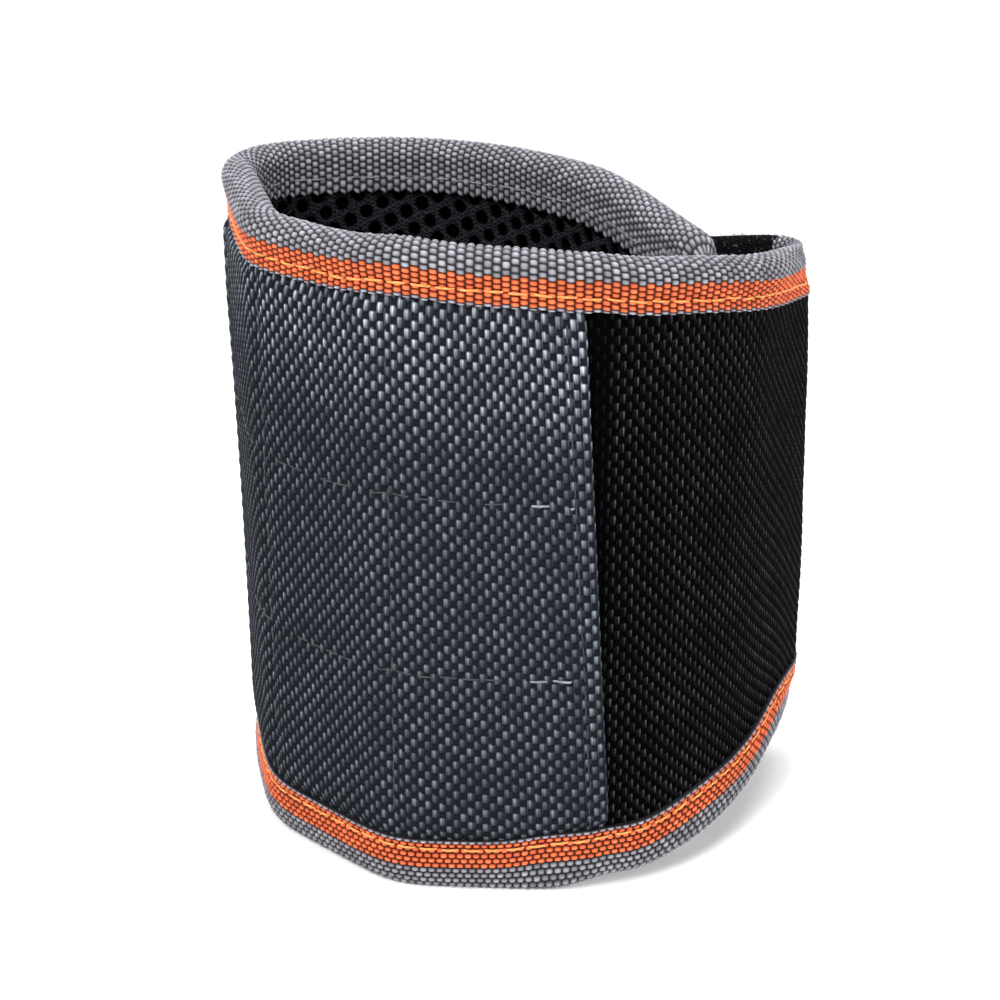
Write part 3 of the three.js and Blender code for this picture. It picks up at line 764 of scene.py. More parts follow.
def thread_finish(c, name):
    """Twisted thread"""
    f = Finish(name, rough=0.45, ior=1.4)
    u, v = f.lay()
    ply = f.math("SINE", f.math("MULTIPLY_ADD", u, 2.6, f.times(v, 1.05)))
    twist = f.math("MULTIPLY_ADD", ply, 0.12, f.noise(900.0))
    f.colour(f.darken(getattr(c, name), f.ramp(twist, 0.3, 0.75, 0.62, 1.12)))
    f.bump(ply, 0.05)
    return f


def nickel_finish(c):
    """Nickel plate with faint barrel-polish marks"""
    f = Finish("nickel_plate", rough=0.3, metal=1.0)
    scuff = f.noise(900.0, 5.0, 0.7)
    f.colour(f.mix(f.ramp(scuff, 0.35, 0.7), [x * 0.8 for x in c.nickel], c.nickel))
    f.feed(f.shader.inputs["Roughness"], f.ramp(scuff, 0.3, 0.7, 0.22, 0.42))
    f.bump(scuff, 0.02, 0.4)
    return f


def interlining_finish(c):
    """Non-woven felt of short fibres"""
    f = Finish("interlining", rough=0.9, ior=1.2)
    fibres = f.add("ShaderNodeTexWave", 1, Vector=f.place(), Scale=900.0, Distortion=18.0, Detail=4.0)
    f.colour(f.mix(fibres, [x * 0.82 for x in c.interlining], c.interlining))
    f.bump(fibres, 0.1, 0.6)
    return f


FINISHES = {}
MAKERS = {
    "tape": tape_finish,
    "mesh": mesh_finish,
    "pile": pile_finish,
    "nickel": nickel_finish,
    "interlining": interlining_finish,
}
# Ramps of tone along the band and up from its foot, counted in yarns. The first paints light by the hem: a
# highlight on the slate's folded hem, and on the black cloth a shadow from beside the hem on, which holds
# over all black cloth past it. The second paints shade that dims the highlights low on the cloth. lit_side
# and spread place each upright float's painted glint.
CLOTHS = {
    "slate": {"lit_side": 0.68, "spread": 0.5, "hem_painted_light": (0.8, 2.6, 1.4, 1.0), "foot": 0.33},
    "black": {"lit_side": 0.24, "spread": 0.24, "hem_painted_light": (-2.6, -1.2, 1.0, 0.1), "foot": 0.85},
}


def finish(name):
    """The named finish, made once"""
    if name not in FINISHES:
        c = settings().colours
        if name in CLOTHS:
            made = cloth_finish(c, name, **CLOTHS[name])
        else:
            made = MAKERS[name](c) if name in MAKERS else thread_finish(c, name)
        FINISHES[name] = made.material
    return FINISHES[name]


# Which stretch of the band rides on which body

FLEX = {"corner": ("tail", (-1.5 * MM, 5 * MM)), "fold": ("closure", (-3 * MM, 2 * MM))}
FOLD_CUT = 4.4 * MM  # from the fold's flex line to the panel's own pieces
CORNER_CUT = 0.6 * MM  # from the corner's pieces to the pockets' end
TAIL_CUT = 15 * MM  # from the corner's flex line to the tail's own pieces


def hold(piece, stretch):
    """Rides the piece on its body; a piece on a flex stretch only has its transform baked in"""
    if stretch not in FLEX:
        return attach(piece, stretch)
    p = plan()
    body, reach = FLEX[stretch]
    at, way = (p.tail_flex, 1) if body == "tail" else (-p.fold_flex, -1)
    here, along = p.band.plan(np.array(at), 0.0), p.band.along(at) * way
    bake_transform(piece)
    return piece


def dress(piece, stretch, node):
    """Puts the piece on its body as hold does, and hides the solid it covers"""
    hold(piece, stretch)
    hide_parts(node)
    return piece


def stretches():
    """Where each stretch of the band starts and ends whose pieces are made by themselves"""
    p = plan()
    cuts = (-p.fold_flex + FOLD_CUT, p.pocket_end - CORNER_CUT, p.tail_flex + TAIL_CUT)
    return dict(zip(("fold", "front", "corner", "tail"), zip((-p.lead_length, *cuts), (*cuts, p.tail_end))))


# The bindings

RIM = 0.1 * MM  # how far a selvedge is turned in
STRETCH_HEIGHT = 4.2 * MM  # over which a pulled edge's tape lengthens
UPPER_LIMIT = -2 * MM  # of the upper tape over the band's edge
TIP_LAP = 4 * MM  # of the tip's tape under the long bindings
ROW_GROWTH = (1.15, 1.3)  # of the two rows between the fine and the long ones
RIB_POINTS = 6
FLOAT_SIZES = (0.8, 1.1)
SWAY, SWAY_RIBS = 0.12 * MM, 6.3  # of the ribs across the tape, and its pace in ribs
SELVEDGE_SWAY = 0.2 * MM  # of the inner selvedge, from rib to rib


def whole(value):
    """The whole number below, with a hair's allowance"""
    return np.floor(value + 1e-6)


class Tape:
    """The binding tape's rows and its U-shaped section, for one height of its outer leg"""

    def __init__(self, leg, stitch_row, brick=False):
        tape = settings().tape
        self.leg, self.outer, self.brick = leg, leg - tape.roll, brick
        self.width = self.outer + math.pi * tape.roll + tape.inner_leg - tape.roll
        steps = [tape.pip]
        while sum(steps) < max(self.outer, tape.pip + tape.orange_rows * tape.fine_row) - tape.fine_row / 2:
            steps.append(tape.fine_row)
        steps.extend(tape.fine_row * growth for growth in ROW_GROWTH)
        while sum(steps) + tape.long_row < self.width - tape.last_row:
            steps.append(tape.long_row)
        steps[-1] += self.width - tape.last_row - sum(steps)
        steps.append(tape.last_row)
        ends = np.concatenate([[0], np.cumsum(steps)])
        self.rows = np.arange(0, len(steps) + 1e-6, 0.25)
        self.marks = np.interp(self.rows, np.arange(len(ends)), ends)
        self.seam = tape.pip + (stitch_row - 1) * tape.fine_row

    def section(self, w):
        """Height over the edge, depth, and the outward normal, at a mark across the tape"""
        tape, p = settings().tape, plan()
        arc = math.pi * tape.roll
        angle = np.clip((w - self.outer) / tape.roll, 0, math.pi)
        up, out = -np.sin(angle), -np.cos(angle)
        height = tape.roll + tape.roll * up
        height = height + np.maximum(self.outer - w, 0) + np.maximum(w - self.outer - arc, 0)
        lean = tape.lean * smooth(height, tape.roll * 0.5, self.leg) * (angle <= 0)
        pinch = tape.pinch * bell(w, self.seam, tape.pinch_width)
        return height, p.roll_depth + tape.roll * out + lean + pinch, up, out


def on_edge(upper):
    """Places points on a bound edge, from a mark, a height over the edge and a depth"""
    b, tape, p = settings().band, settings().tape, plan()
    sag, stretch = (UPPER_SAG, ()) if upper else (LOWER_SAG, LOWER_STRETCH)

    def place(u, height, depth):
        pulled = humps(u, stretch) * smooth(height, 0, STRETCH_HEIGHT)
        up = np.maximum(p.edge(u) + humps(u, sag) + height + pulled, UPPER_LIMIT if upper else b.rest_cut)
        outside = smooth(p.roll_depth - depth, 0, tape.roll)
        pressed = p.roll_depth + (depth - p.roll_depth) * p.press(u)
        return p.band.place(u, p.height - up if upper else up, pressed + p.tuck(u, height) * outside)

    return place


def tapes():
    """The upper and the lower binding's tape"""
    tape = settings().tape
    upper = Tape(tape.upper_leg, tape.upper_stitch)
    return {True: upper, False: Tape(tape.lower_leg, tape.lower_stitch, brick=True)}


def between(first, grid, last):
    """A grid with one more column at each side"""
    column = np.ones((len(grid), 1))
    return np.concatenate([first * column, grid, last * column], axis=1)


def tape_piece(name, strip, place, columns, seed, node, stretch, flip=False):
    """Rounded floats of the tape over a stretch of ribs, with a turned-in rim at both selvedges"""
    tape, p = settings().tape, plan()
    rib = np.arange(columns[0] * RIB_POINTS, columns[1] * RIB_POINTS + 1) / RIB_POINTS
    ribs, rows = np.meshgrid(rib, strip.rows, indexing="ij")
    if strip.brick:
        ribs = ribs + 0.5 * np.mod(whole(rows), 2)
    else:
        rows = rows + 0.5 * np.mod(whole(ribs), 2)
    column, row = whole(ribs), whole(rows)
    across, along = 2 * (ribs - column) - 1, 2 * (rows - row) - 1
    lift = np.random.default_rng(seed).uniform(*FLOAT_SIZES, (columns[1] - columns[0] + 2, len(strip.rows)))
    size = lift[(column - columns[0]).astype(int), row.astype(int)]
    crest = np.sqrt(np.clip(1 - np.abs(across / 0.97) ** 2.1 - np.abs(along / 0.97) ** 2.1, 0, 1)) * size
    height, depth, up, out = strip.section(strip.marks)
    amount = (crest - 0.6) * tape.relief
    last = np.arange(len(strip.marks)) >= len(strip.marks) - 2
    sway = SWAY * np.sin(rib / SWAY_RIBS)[:, None] + SELVEDGE_SWAY * np.cos(rib * math.pi)[:, None] * last
    h = between(strip.leg - RIM, height + amount * up + sway * (np.abs(out) > 0.9), tape.inner_leg - RIM)
    d = between(RIM, depth + amount * out, p.edge_depth - RIM)
    points = place(rib[:, None] * tape.column, h, d)
    weave_u = ribs + column if strip.brick else ribs
    weave = [between(x[:, :1], x, x[:, -1:]) for x in (weave_u, np.broadcast_to(strip.rows, ribs.shape))]
    faces = grid_faces(*points.shape[:2], flip=flip)
    piece = new_piece(name, points, faces, "tape", np.stack(weave, axis=-1), crest=between(0, crest, 0))
    dress(piece, stretch, node)


class BuildBindings(bpy.types.Operator):
    """Make the tape that binds the band's two long edges and the tail's tip"""
    bl_idname = "wristband.bindings"
    bl_label = "Bindings"

    def execute(self, context):
        p, tape = plan(), settings().tape
        for upper, strip in tapes().items():
            edge = "upper" if upper else "lower"
            for stretch, span in stretches().items():
                low, high = (round(mark / tape.column) for mark in span)
                columns = max(low, p.ribs[0]), min(high, p.ribs[1])
                node = f"{'tail' if stretch == 'corner' else stretch}_binding_{edge}"
                seed = 11 + 7 * upper + len(stretch)
                tape_piece(f"{edge}_binding_{stretch}", strip, on_edge(upper), columns, seed, node,
                           stretch, flip=not upper)
        low, high = (settings().band.tail_taper + leg - TIP_LAP for leg in (tape.lower_leg, tape.upper_leg))
        columns = math.ceil(low / tape.column), math.floor((p.height - high) / tape.column)

        def on_tip(along, back, depth):
            return p.band.place(p.tail_end - back, along, depth)

        tape_piece("tip_binding", tapes()[True], on_tip, columns, 5, "tail_binding_tip", "tail")
        return {"FINISHED"}


# The cover cloth

YARN_POINTS = 5
FOLD_ANGLES = np.array([0.45, 0.9, 1.35, 1.8, 2.3, 2.8, math.pi])
POCKET_RIPPLE, PLAIN_RIPPLE = (3.1 * MM, 5.7 * MM, 4.3 * MM), (4.1 * MM, 6.3 * MM)  # paces
EDGE_RETURN = 2 * MM  # how far a folded edge runs back behind the cloth
GROOVES = (0.9 * MM, 0.7 * MM, 0.55 * MM)  # half widths along the upright, the level and the hems' seams
HEM_SLOPE = (0.6 * MM, 3 * MM)  # from the hem's seam to where the prouder hem starts to fall, and ends
POCKET_INSET = 0.4 * MM
FOLD_INSET = 0.7 * MM
PANEL_LAP = 7 * MM  # of the plain panel under the pocket cloth
CORNER_LAP = 3 * MM  # of the tail's cover under the pocket cloth
TIP_INSET = 3.2 * MM


def weave(i, j):
    """Plain weave at a count of yarns along and up: its relief, and the share of painted highlight on its
    upright floats, larger towards each float's top
    """
    column, row = whole(i), whole(j)
    a, b = 2 * (i - column) - 1, 2 * (j - row) - 1
    shows = np.mod(column + row, 2) > 0.5
    along_upright = np.where(shows, np.abs(b), 2 - np.abs(b))
    along_level = np.where(shows, 2 - np.abs(a), np.abs(a))

    def bar(across, along):
        return np.sqrt(np.clip(1 - across ** 2, 0, 1) * np.clip(1 - along ** 4, 0, 1))

    upright = bar((np.abs(a) / 1.06) ** 1.8, along_upright / 1.16)
    level = 0.7 * bar(b / 0.98, along_level / 1.35)
    # Painted top light: each upright float is painted lighter towards its top
    from_foot = np.where(shows, b, b - 2 * np.sign(b))
    return np.maximum(upright, level), (upright > level) * (0.56 + 0.42 * from_foot)


def cloth_piece(name, span, face, cloth, folded=(False, False), lean=lambda u, h: 0):
    """A stretch of cover cloth. face gives its depth, and lean its shift along the band"""
    p, c = plan(), settings().cloth
    slope = c.slate_slope if cloth == "slate" else -c.black_slope
    us = np.linspace(*span, round((span[1] - span[0]) / c.across * YARN_POINTS))
    hs = np.linspace(p.cloth_edge, p.height - p.cloth_edge, round(p.height / c.upright * YARN_POINTS))
    back = np.zeros(len(us))
    for side, way in ((0, -1), (1, 1)):
        if folded[side]:
            out = c.edge_roll * np.append(np.sin(FOLD_ANGLES), -EDGE_RETURN / c.edge_roll)
            behind = c.edge_roll * np.append(1 - np.cos(FOLD_ANGLES), 2)
            us = np.concatenate([us, span[1] + out] if side else [(span[0] - out)[::-1], us])
            back = np.concatenate([back, behind] if side else [behind[::-1], back])
    u, h = np.meshgrid(us, hs, indexing="ij")
    back = back[:, None]
    arc = np.cumsum(np.abs(np.diff(us, prepend=us[0])))
    flat_start = arc[back[:, 0] == 0][0]
    i = np.where(back > 0, arc[:, None] + (span[0] - flat_start), u) / c.across
    j = (h - slope * u) / c.upright
    crest, upright = weave(i, j)
    rounding = np.cos(np.minimum(back / c.edge_roll, 2) * math.pi / 2)
    depth = face(np.clip(u, *span), h) + back - (crest - 0.4) * c.relief * rounding
    u = u + lean(u, h)
    points = p.band.place(u, p.drawn_in(u, h), depth)
    faces = grid_faces(*points.shape[:2], flip=True)
    # The upright layer carries each point's share of painted highlight
    return new_piece(name, points, faces, cloth, np.stack([i, j], axis=-1), crest=crest, upright=upright)


def pocket_face(u, h):
    """Depth of the pocket cloth: proud over each magnet, drawn in along every seam"""
    b, c, p = settings().band, settings().cloth, plan()
    uprights, levels = p.seam_marks()
    pressed, own_form = p.under_tape(u, h)
    from_upright = np.min([np.abs(u - mark) for mark in uprights], axis=0)
    from_level = np.min([np.abs(h - mark) for mark in levels], axis=0)
    from_hem = np.minimum(u, p.pocket_end - u)
    groove = np.minimum(bell(from_upright, 0, GROOVES[0]) + 0.5 * bell(from_level, 0, GROOVES[1]), 1)
    pillow = smooth(from_upright, 0, c.seam_width) * (0.5 + 0.5 * smooth(from_level, 0, c.seam_width))
    hem = 1 - smooth(from_hem - c.hem_stitch, *HEM_SLOPE)
    stitched = c.stitch_pull * bell(from_hem, c.hem_stitch, GROOVES[2])
    along, bent, up = POCKET_RIPPLE
    ripple = np.sin(u / along + np.sin(h / bent) * 1.7) * np.sin(h / up + 0.8)
    rise = b.pocket_rise + c.hem_rise * hem * (u < b.hem)
    pull = c.seam_pull * (1 - hem) * (0.5 * (1 - pillow) + 0.5 * groove) + stitched
    return (pull - rise) * own_form + c.ripple * ripple * (1 - hem) + pressed


def plain_face(u, h):
    """Depth of the plain cloth, which lies a little uneven"""
    along, bent = PLAIN_RIPPLE
    ripple = np.sin(u / along + np.sin(h / bent) * 1.9)
    return settings().cloth.ripple / 2 * ripple + plan().under_tape(u, h)[0]


class BuildCovers(bpy.types.Operator):
    """Make the pocket cloth, the plain panel, the fold's cover and the tail's cover"""
    bl_idname = "wristband.covers"
    bl_label = "Cover cloth"

    def execute(self, context):
        p, marks = plan(), stretches()
        cut = p.height - 2 * p.cloth_edge
        span = (POCKET_INSET, p.pocket_end - POCKET_INSET)
        pockets = cloth_piece("pocket_cloth", span, pocket_face, "slate", (True, True), p.hem_lean)
        dress(pockets, "front", "magnet_panel")
        for name, stretch, low, high, node, folded in (
                ("panel", "front", marks["fold"][1], PANEL_LAP, "plain_panel", False),
                ("fold", "fold", -p.lead_length + FOLD_INSET, marks["fold"][1], "fold_cover", True),
                ("corner", "corner", p.pocket_end - CORNER_LAP, marks["corner"][1], "tail_cover", False),
                ("tail", "tail", marks["corner"][1], p.tail_end - TIP_INSET, "tail_cover", False)):
            piece = cloth_piece(name + "_cloth", (low, high), plain_face, "black", (folded, False))
            dress(piece, stretch, node)
            width = float(cut * (1 - 2 * p.edge(np.array((low + high) / 2)) / p.height))
        return {"FINISHED"}


# The lining

# A tile's twelve corner points, in sixths of the way to the next hole
TILE = np.array([(3, 3), (1, 3), (-1, 3), (-3, 3), (-3, 1), (-3, -1),
                 (-3, -3), (-1, -3), (1, -3), (3, -3), (3, -1), (3, 1)])
# Rings of a hole by their size, their depth and their crest, as shares; the crest sets how far the finish
# darkens the hole with painted shade
RINGS = ((1.2, 0.0, 1.0), (1.0, 0.12, 0.75), (0.9, 0.45, 0.12), (0.8, 1.0, 0.0))
BOTTOM = ((0, 1, 2, 3), (0, 3, 4, 11), (4, 5, 10, 11), (5, 6, 9, 10), (6, 7, 8, 9))
EDGE_PITCHES = 0.72  # from the cloth's edge to the outer holes, in pitches
CORNER_LINING_LAP = 2 * MM
TIP_LINING_GAP = 1 * MM


def lining_piece(stretch, low, high, node):
    """A stretch of air mesh, every hole open to its own bottom"""
    m, p = settings().air_mesh, plan()
    unit = m.pitch / math.sqrt(5)
    reach = int((high - low + p.height) / unit)
    base = round(((low + high) / 2) / unit / 2)

    def lattice(q, r):
        return (2 * q + r) * unit, p.height / 2 + (q - 2 * r - base) * unit

    numbers = np.arange(-reach, reach)
    q, r = (x.ravel() for x in np.meshgrid(numbers + base, numbers, indexing="ij"))
    u, h = lattice(q, r)
    edge = p.cloth_edge + m.pitch * EDGE_PITCHES
    keep = (u >= low) & (u < high) & (h > edge) & (h < p.height - edge)
    q, r, u, h = (x[keep, None] for x in (q, r, u, h))
    keys = np.stack([6 * q + TILE[:, 0], 6 * r + TILE[:, 1]], axis=-1).reshape(-1, 2)
    keys, shared = np.unique(keys, axis=0, return_inverse=True)
    rim_u, rim_h = lattice(keys[:, 0] / 6, keys[:, 1] / 6)
    direction = np.stack([2 * TILE[:, 0] + TILE[:, 1], TILE[:, 0] - 2 * TILE[:, 1]], axis=1)
    direction = direction / np.linalg.norm(direction, axis=1)[:, None]
    wobble = m.hole * (1 + 0.05 * np.sin(q * 12.9898 + r * 78.233))
    us, hs, downs, crests = [rim_u], [rim_h], [np.zeros(len(rim_u))], [np.ones(len(rim_u))]
    for size, deep, crest in RINGS:
        us.append((u + direction[:, 0] * size * wobble).ravel())
        hs.append((h + direction[:, 1] * size * wobble).ravel())
        downs.append(np.full(us[-1].shape, deep * m.depth))
        crests.append(np.full(us[-1].shape, crest))
    count = len(us[-1])
    u, h, down, crest = (np.concatenate(x) for x in (us, hs, downs, crests))
    points = p.band.place(u, p.drawn_in(u, h), p.lining_face(u, h) - down)
    rings = [shared.reshape(-1, 12)]
    rings += [len(rim_u) + k * count + np.arange(count).reshape(-1, 12) for k in range(len(RINGS))]
    faces = [np.stack([a, np.roll(a, -1, 1), np.roll(b, -1, 1), b], axis=-1).reshape(-1, 4)
             for a, b in zip(rings, rings[1:])]
    faces = np.concatenate(faces + [rings[-1][:, list(quad)] for quad in BOTTOM])
    a, b, c = points[faces[0, :3]]
    if np.dot(np.cross(b - a, c - b)[:2], p.band.inward(u[faces[0, 0]])) < 0:
        faces = faces[:, ::-1]
    lay = np.stack([u / unit, h / unit], axis=1)
    piece = new_piece(stretch + "_lining_mesh", points, faces, "mesh", lay, crest=crest)
    dress(piece, stretch, node)


class BuildLining(bpy.types.Operator):
    """Make the air-mesh lining in its four stretches"""
    bl_idname = "wristband.lining"
    bl_label = "Air-mesh lining"

    def execute(self, context):
        p, cuts = plan(), [span[1] for span in stretches().values()]
        start = -p.lead_length + settings().band.strap_tuck * 0.4
        corner = cuts[1] - CORNER_LINING_LAP
        end = p.tail_end - p.cloth_edge - TIP_LINING_GAP
        lining_piece("fold", start, cuts[0], "fold_lining")
        lining_piece("front", cuts[0], corner, "front_lining")
        lining_piece("corner", corner, cuts[2], "tail_lining")
        lining_piece("tail", cuts[2], end, "tail_lining")
        return {"FINISHED"}


# Seams

STITCH_POINTS = np.array([0, 0.1, 0.3, 0.5, 0.7, 0.9, 1.0])
STITCH_LIFT = np.array([-1.6, 0.35, 0.8, 0.95, 0.8, 0.35, -1.6])  # in thread radii
SUNK_BY = 2.2  # thread radii
SEAM_END_GAP = 3 * MM  # from the tape's ends to its seams
LEVEL_END_GAP = 1.5 * MM  # from the pocket cloth's ends to the level seams


def stitch_row(name, place, low, high, normal_of, thread, stretch, rng, sunk=0.0):
    """A row of stitches. place gives the point at a mark; sunk is the share hidden in the cloth"""
    s = settings().stitches
    radius = s.fine_thread if thread in ("grey_thread", "dark_thread") else s.thread
    starts = np.arange(math.ceil(low / s.pitch), math.floor(high / s.pitch)) * s.pitch
    t = STITCH_POINTS
    stray = rng.normal(0, s.wander, (len(starts), 2))
    low_down = np.where(rng.random(len(starts)) < sunk, SUNK_BY * radius, 0)
    lift = radius * STITCH_LIFT - low_down[:, None]
    along = starts[:, None] + t * s.reach
    normals = normal_of(along)
    paths = place(along, stray[:, :1] * (1 - t) + stray[:, 1:] * t) + normals * lift[:, :, None]
    points, faces, lay = tubes(paths, normals, radius)
    hold(new_piece(name, points, faces, thread, lay), stretch)


class BuildSeams(bpy.types.Operator):
    """Make the seams of the bindings, the hems and the pockets"""
    bl_idname = "wristband.seams"
    bl_label = "Seams"

    def execute(self, context):
        rng = np.random.default_rng(23)
        for upper, strip in tapes().items():
            self.binding(rng, upper, strip)
        self.pockets(rng)
        self.hems(rng)
        return {"FINISHED"}

    def binding(self, rng, upper, strip):
        p, inset = plan(), settings().stitches.inner_inset
        place = on_edge(upper)
        outer_height, outer_depth, _, _ = strip.section(np.array(strip.seam))
        inner_height = settings().tape.inner_leg - inset
        inner_depth = strip.section(np.array(strip.width - inset))[1]

        def outer(u, side):
            return place(u, outer_height + side, outer_depth)

        def inner(u, side):
            return place(u, inner_height + side, inner_depth)

        edge = "upper" if upper else "lower"
        for stretch, (low, high) in stretches().items():
            span = (low + SEAM_END_GAP * (stretch == "fold"), high - SEAM_END_GAP * (stretch == "tail"))
            stitch_row(f"{edge}_outer_seam_{stretch}", outer, *span, p.band.outward,
                       "orange_thread", stretch, rng)
            stitch_row(f"{edge}_inner_seam_{stretch}", inner, *span, lambda u: -p.band.outward(u),
                       "grey_thread", stretch, rng, 0.4)

    def upright(self, name, mark, lean, rng, sunk):
        """A seam up the pocket cloth"""
        p, margin = plan(), settings().stitches.margin

        def place(h, side):
            u = mark + side
            shifted = u + lean(u, h)
            return p.band.place(shifted, p.drawn_in(shifted, h), pocket_face(u, h))

        def normal(h):
            return p.band.outward(np.full_like(h, mark))

        stitch_row(name, place, margin, p.height - margin, normal, "dark_thread", "front", rng, sunk)

    def pockets(self, rng):
        p, pale_end = plan(), settings().stitches.pale_end
        uprights, levels = p.seam_marks()
        for index, mark in enumerate(uprights, 1):
            self.upright(f"pocket_seam_upright{index}", mark, lambda u, h: 0, rng, 0.4)
        for index, mark in enumerate(levels, 1):
            def place(u, side, mark=mark):
                return p.band.place(u, p.drawn_in(u, mark + side), pocket_face(u, mark + side))

            name = f"pocket_seam_level{index}"
            stitch_row(name + "_end", place, LEVEL_END_GAP, pale_end, p.band.outward,
                       "pale_thread", "front", rng)
            stitch_row(name, place, pale_end, p.pocket_end - LEVEL_END_GAP, p.band.outward,
                       "dark_thread", "front", rng, 0.35)

    def hems(self, rng):
        p, inset = plan(), settings().cloth.hem_stitch
        self.upright("hem_seam_right", inset, p.hem_lean, rng, 0.0)
        self.upright("hem_seam_left", p.pocket_end - inset, p.hem_lean, rng, 0.0)


# Strap, pile and hidden layers

PILE_STEP = 0.7 * MM
SHEET_STEP = 1.5 * MM
PILE_FOOT = 0.1 * MM  # gap under the hook pile
LOOP_FOOT = 0.05 * MM  # gap under the loop pile
LOOP_FRAME = 8.5 * MM  # from the tail's edges and its tip to the loop pile
LOOP_START = 14.6 * MM  # from the corner's flex line
SHEET_FRAME = 11.3 * MM  # from the band's edges to the interlining
SHEET_START, SHEET_END = 4 * MM, 1.5 * MM  # from the pocket cloth's ends
SLAB_HEIGHT_SHARE = 0.85  # of the band's height, for the count of a slab's rows
LINT_COUNT, LINT_RADIUS, LINT_SPREAD = 900, 0.03 * MM, 0.12 * MM
LINT_REACH = (0.15 * MM, 0.5 * MM)


def slab(name, line, span, edge, faces_at, finish_name, step, fuzz, seed):
    """A closed slab along a line, rounded at its rim, with its two faces at given depths"""
    p = plan()
    rng = np.random.default_rng(seed)
    us = np.linspace(*span, max(4, int((span[1] - span[0]) / step)))
    hs = np.linspace(0, 1, max(4, int(p.height * SLAB_HEIGHT_SHARE / step)))
    u, t = np.meshgrid(us, hs, indexing="ij")
    low = edge(u)
    h = low + (p.height - 2 * low) * t
    middle = (faces_at[0] + faces_at[1]) / 2
    rim = np.ones(u.shape, bool)
    rim[1:-1, 1:-1] = False
    sides = []
    for at in faces_at:
        depth = at + fuzz * rng.normal(0, 1, u.shape)
        depth[rim] = middle + 0.6 * (at - middle)
        sides.append(line.place(u, h, depth).reshape(-1, 3))
    n, m = u.shape
    count = n * m
    far_side, far_end = np.arange(1, n) * m + m - 1, np.arange(count - 2, count - m - 1, -1)
    loop = np.concatenate([np.arange(m), far_side, far_end, np.arange(n - 2, 0, -1) * m])
    after = np.roll(loop, -1)
    wall = np.stack([loop, after, after + count, loop + count], axis=1)
    faces = np.concatenate([grid_faces(n, m), grid_faces(n, m, flip=True) + count, wall])
    lay = np.tile(np.stack([u / MM, h / MM], axis=-1).reshape(-1, 2), (2, 1))
    return new_piece(name, np.concatenate(sides), faces, finish_name, lay)


def lint(name, line, span, edge, depth, seed):
    """Loose fibres along a raw-cut strap"""
    height, rng, count = plan().height, np.random.default_rng(seed), LINT_COUNT
    u = rng.uniform(*span, count)
    upper = rng.random(count) < 0.5
    low = edge(u)
    h = np.where(upper, height - low, low) + rng.normal(0, LINT_SPREAD, count)
    d = rng.uniform(*depth, count)
    out = np.where(upper, 1.0, -1.0)
    t = np.linspace(0, 1, 5)
    reach = rng.uniform(*LINT_REACH, count)[:, None]
    lean = rng.normal(0, 0.8, count)[:, None]
    curl = rng.normal(0, 0.5, count)[:, None]
    u = u[:, None] + lean * reach * t
    h = h[:, None] + out[:, None] * reach * (t - 0.35 * t ** 2)
    paths = line.place(u, h, d[:, None] + curl * reach * t ** 2)
    points, faces, lay = tubes(paths, line.outward(u), LINT_RADIUS, sides=3)
    return new_piece(name, points, faces, "pile", lay)


class BuildStrap(bpy.types.Operator):
    """Make the closure strap, its hook pile and the tail's loop pile"""
    bl_idname = "wristband.strap"
    bl_label = "Strap and pile"

    def execute(self, context):
        p, b = plan(), settings().band
        start, end = p.lead_length, p.strap.end
        thickness = (p.pad_depth, p.strap_face)
        web = (start - b.strap_tuck, end)
        strap = slab("closure_strap_web", p.strap, web, p.strap_edge, thickness, "pile",
                     PILE_STEP, fuzz=0.05 * MM, seed=3)
        dress(strap, "closure", "closure_strap")
        hook = slab("hook_pile", p.strap, (start + b.seat, end - b.loop_inset),
                    lambda s: p.edge(-s) + p.cloth_edge + b.loop_inset,
                    (p.strap_face + PILE_FOOT, p.strap_face + b.seat + b.pile), "pile",
                    PILE_STEP, fuzz=0.08 * MM, seed=4)
        dress(hook, "closure", "hook_strip")
        fibres = lint("strap_lint", p.strap, (start + 2 * b.seat, end), p.strap_edge, thickness, seed=6)
        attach(fibres, "closure")
        loop = slab("loop_pile", p.band, (p.tail_flex + LOOP_START, p.tail_end - LOOP_FRAME),
                    lambda u: p.edge(u) + LOOP_FRAME, (-b.seat - b.pile, -LOOP_FOOT), "pile",
                    PILE_STEP, fuzz=0.1 * MM, seed=5)
        dress(loop, "tail", "loop_strip")
        return {"FINISHED"}


class BuildHidden(bpy.types.Operator):
    """Make the interlining behind the magnets and plate the magnets"""
    bl_idname = "wristband.hidden"
    bl_label = "Magnets and interlining"

    def execute(self, context):
        p, depth = plan(), plan().backing_depth
        span = (SHEET_START, p.pocket_end - SHEET_END)
        sheet = slab("pocket_interlining", p.band, span, lambda u: np.full(np.shape(u), SHEET_FRAME),
                     (depth, depth + settings().band.backing), "interlining",
                     SHEET_STEP, fuzz=0.01 * MM, seed=8)
        dress(sheet, "front", "pocket_backing")
        for name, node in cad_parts.items():
            if name.startswith("magnet_column"):
                node.data.materials.clear()
                node.data.materials.append(finish("nickel"))
        return {"FINISHED"}


# Studio

LAMP_TARGET = (0.002, 0.02, 0.045)
# Each lamp's size and place
LAMPS = {
    "key": (0.30, (-0.24, -0.32, 0.50)),
    "fill": (0.35, (0.45, -0.32, 0.22)),
    "top": (0.40, (0.05, 0.12, 0.55)),
}
FLOOR_REACH = 3.0
FLOOR_DROP = 0.02 * MM  # under the part's lowest face
FLOOR_FADE = (0.15, 0.5)  # from the middle, where the paper starts to turn to pure white, and ends
PAPER = (0.86, 0.86, 0.86)
SENSOR = 36.0  # width in millimetres
CLIP = (0.01, 20.0)


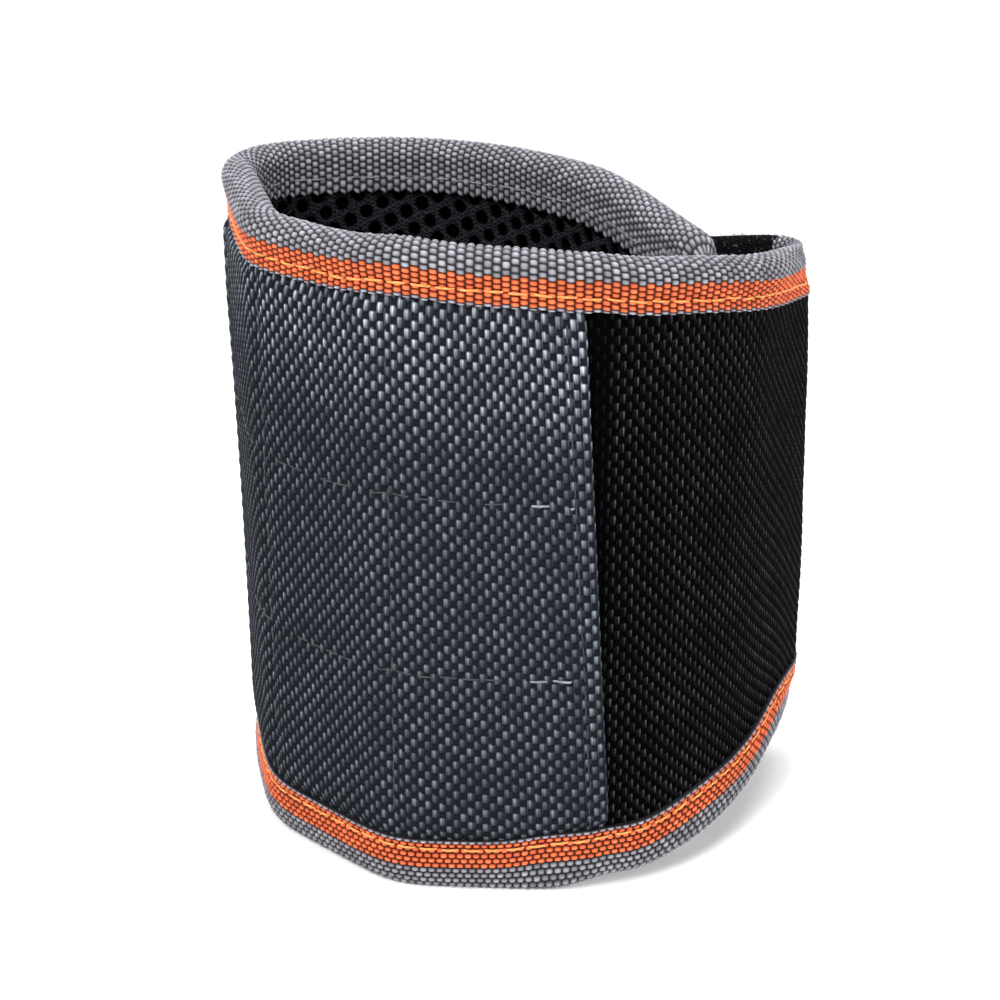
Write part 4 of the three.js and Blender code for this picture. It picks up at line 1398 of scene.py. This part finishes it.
class BuildStage(bpy.types.Operator):
    """Set the floor, the even light, the lamps and the camera"""
    bl_idname = "wristband.stage"
    bl_label = "Studio"

    def execute(self, context):
        s, scene = settings().studio, bpy.context.scene
        scene.view_settings.view_transform = "Standard"
        self.floor(s)
        scene.world = scene.world or bpy.data.worlds.new("Studio")
        scene.world.use_nodes = True
        sky = Nodes(scene.world.node_tree)
        background = sky.tree.nodes["Background"]
        sky.feed(background.inputs["Color"], (1, 1, 1, 1))
        sky.feed(background.inputs["Strength"], sky.ramp(sky.seen(), 0.0, 1.0, s.sky, 1.0))
        for name, (size, place) in LAMPS.items():
            data = bpy.data.lights.new(name, "AREA")
            data.energy, data.size, data.shape = getattr(s, name), size, "DISK"
            lamp = put(name, data)
            lamp.location = place
            lamp.rotation_euler = (Vector(LAMP_TARGET) - Vector(place)).to_track_quat("-Z", "Y").to_euler()
        self.camera(s)
        return {"FINISHED"}

    def floor(self, s):
        data = bpy.data.meshes.new("studio_floor")
        r = FLOOR_REACH
        data.from_pydata([(-r, -r, 0), (r, -r, 0), (r, r, 0), (-r, r, 0)], [], [(0, 1, 2, 3)])
        floor = put("studio_floor", data)
        f = Finish("floor_paper", rough=0.9, ior=1.5)
        f.colour(PAPER)
        paper = f.add("ShaderNodeAddShader", i0=f.shader.outputs[0],
                      i1=f.add("ShaderNodeEmission", Strength=s.floor_glow))
        distance = f.add("ShaderNodeVectorMath", "Value", {"operation": "LENGTH"}, i0=f.place())
        white = f.times(f.ramp(distance, *FLOOR_FADE), f.seen())
        blend = f.add("ShaderNodeMixShader", i0=white, i1=paper, i2=f.add("ShaderNodeEmission"))
        f.feed(f.tree.nodes["Material Output"].inputs["Surface"], blend)
        data.materials.append(f.material)
        floor.location.z = -FLOOR_DROP

    def camera(self, s):
        data = bpy.data.cameras.new("photo_camera")
        data.lens, data.sensor_width = s.lens, SENSOR
        data.clip_start, data.clip_end = CLIP
        camera = put("photo_camera", data)
        level = Vector((-math.sin(s.swing), math.cos(s.swing), 0.0))
        look = level * math.cos(s.tilt) - Vector((0, 0, math.sin(s.tilt)))
        right = look.cross(Vector((0, 0, 1))).normalized()
        up = right.cross(look)
        turned_right = right * math.cos(s.roll) + up * math.sin(s.roll)
        turned_up = up * math.cos(s.roll) - right * math.sin(s.roll)
        basis = Matrix((turned_right, turned_up, -look)).transposed()
        camera.matrix_world = Matrix.Translation((s.camera_x, s.camera_y, s.camera_z)) @ basis.to_4x4()
        bpy.context.scene.camera = camera


OPERATORS = (BuildStage, BuildHidden, BuildLining, BuildCovers, BuildBindings, BuildSeams, BuildStrap)


class WristbandPanel(bpy.types.Panel):
    """Settings and steps of the wristband"""
    bl_idname = "VIEW3D_PT_wristband"
    bl_label = "Magnetic wristband"
    bl_space_type = "VIEW_3D"
    bl_region_type = "UI"
    bl_category = "Wristband"

    def draw(self, context):
        for operator in OPERATORS:
            self.layout.operator(operator.bl_idname)
        for name, group in GROUPS.items():
            box = self.layout.box()
            box.label(text=group.__doc__)
            for prop in group.__annotations__:
                box.prop(getattr(context.scene.wristband, name), prop)


CLASSES = (*GROUPS.values(), Wristband, *OPERATORS, WristbandPanel)


def register():
    for kind in CLASSES:
        bpy.utils.register_class(kind)
    bpy.types.Scene.wristband = PointerProperty(type=Wristband)


def unregister():
    del bpy.types.Scene.wristband
    for kind in reversed(CLASSES):
        bpy.utils.unregister_class(kind)


def main():
    register()
    for operator in OPERATORS:
        group, name = operator.bl_idname.split(".")
        getattr(getattr(bpy.ops, group), name)()


if __name__ == "__main__":
    main()
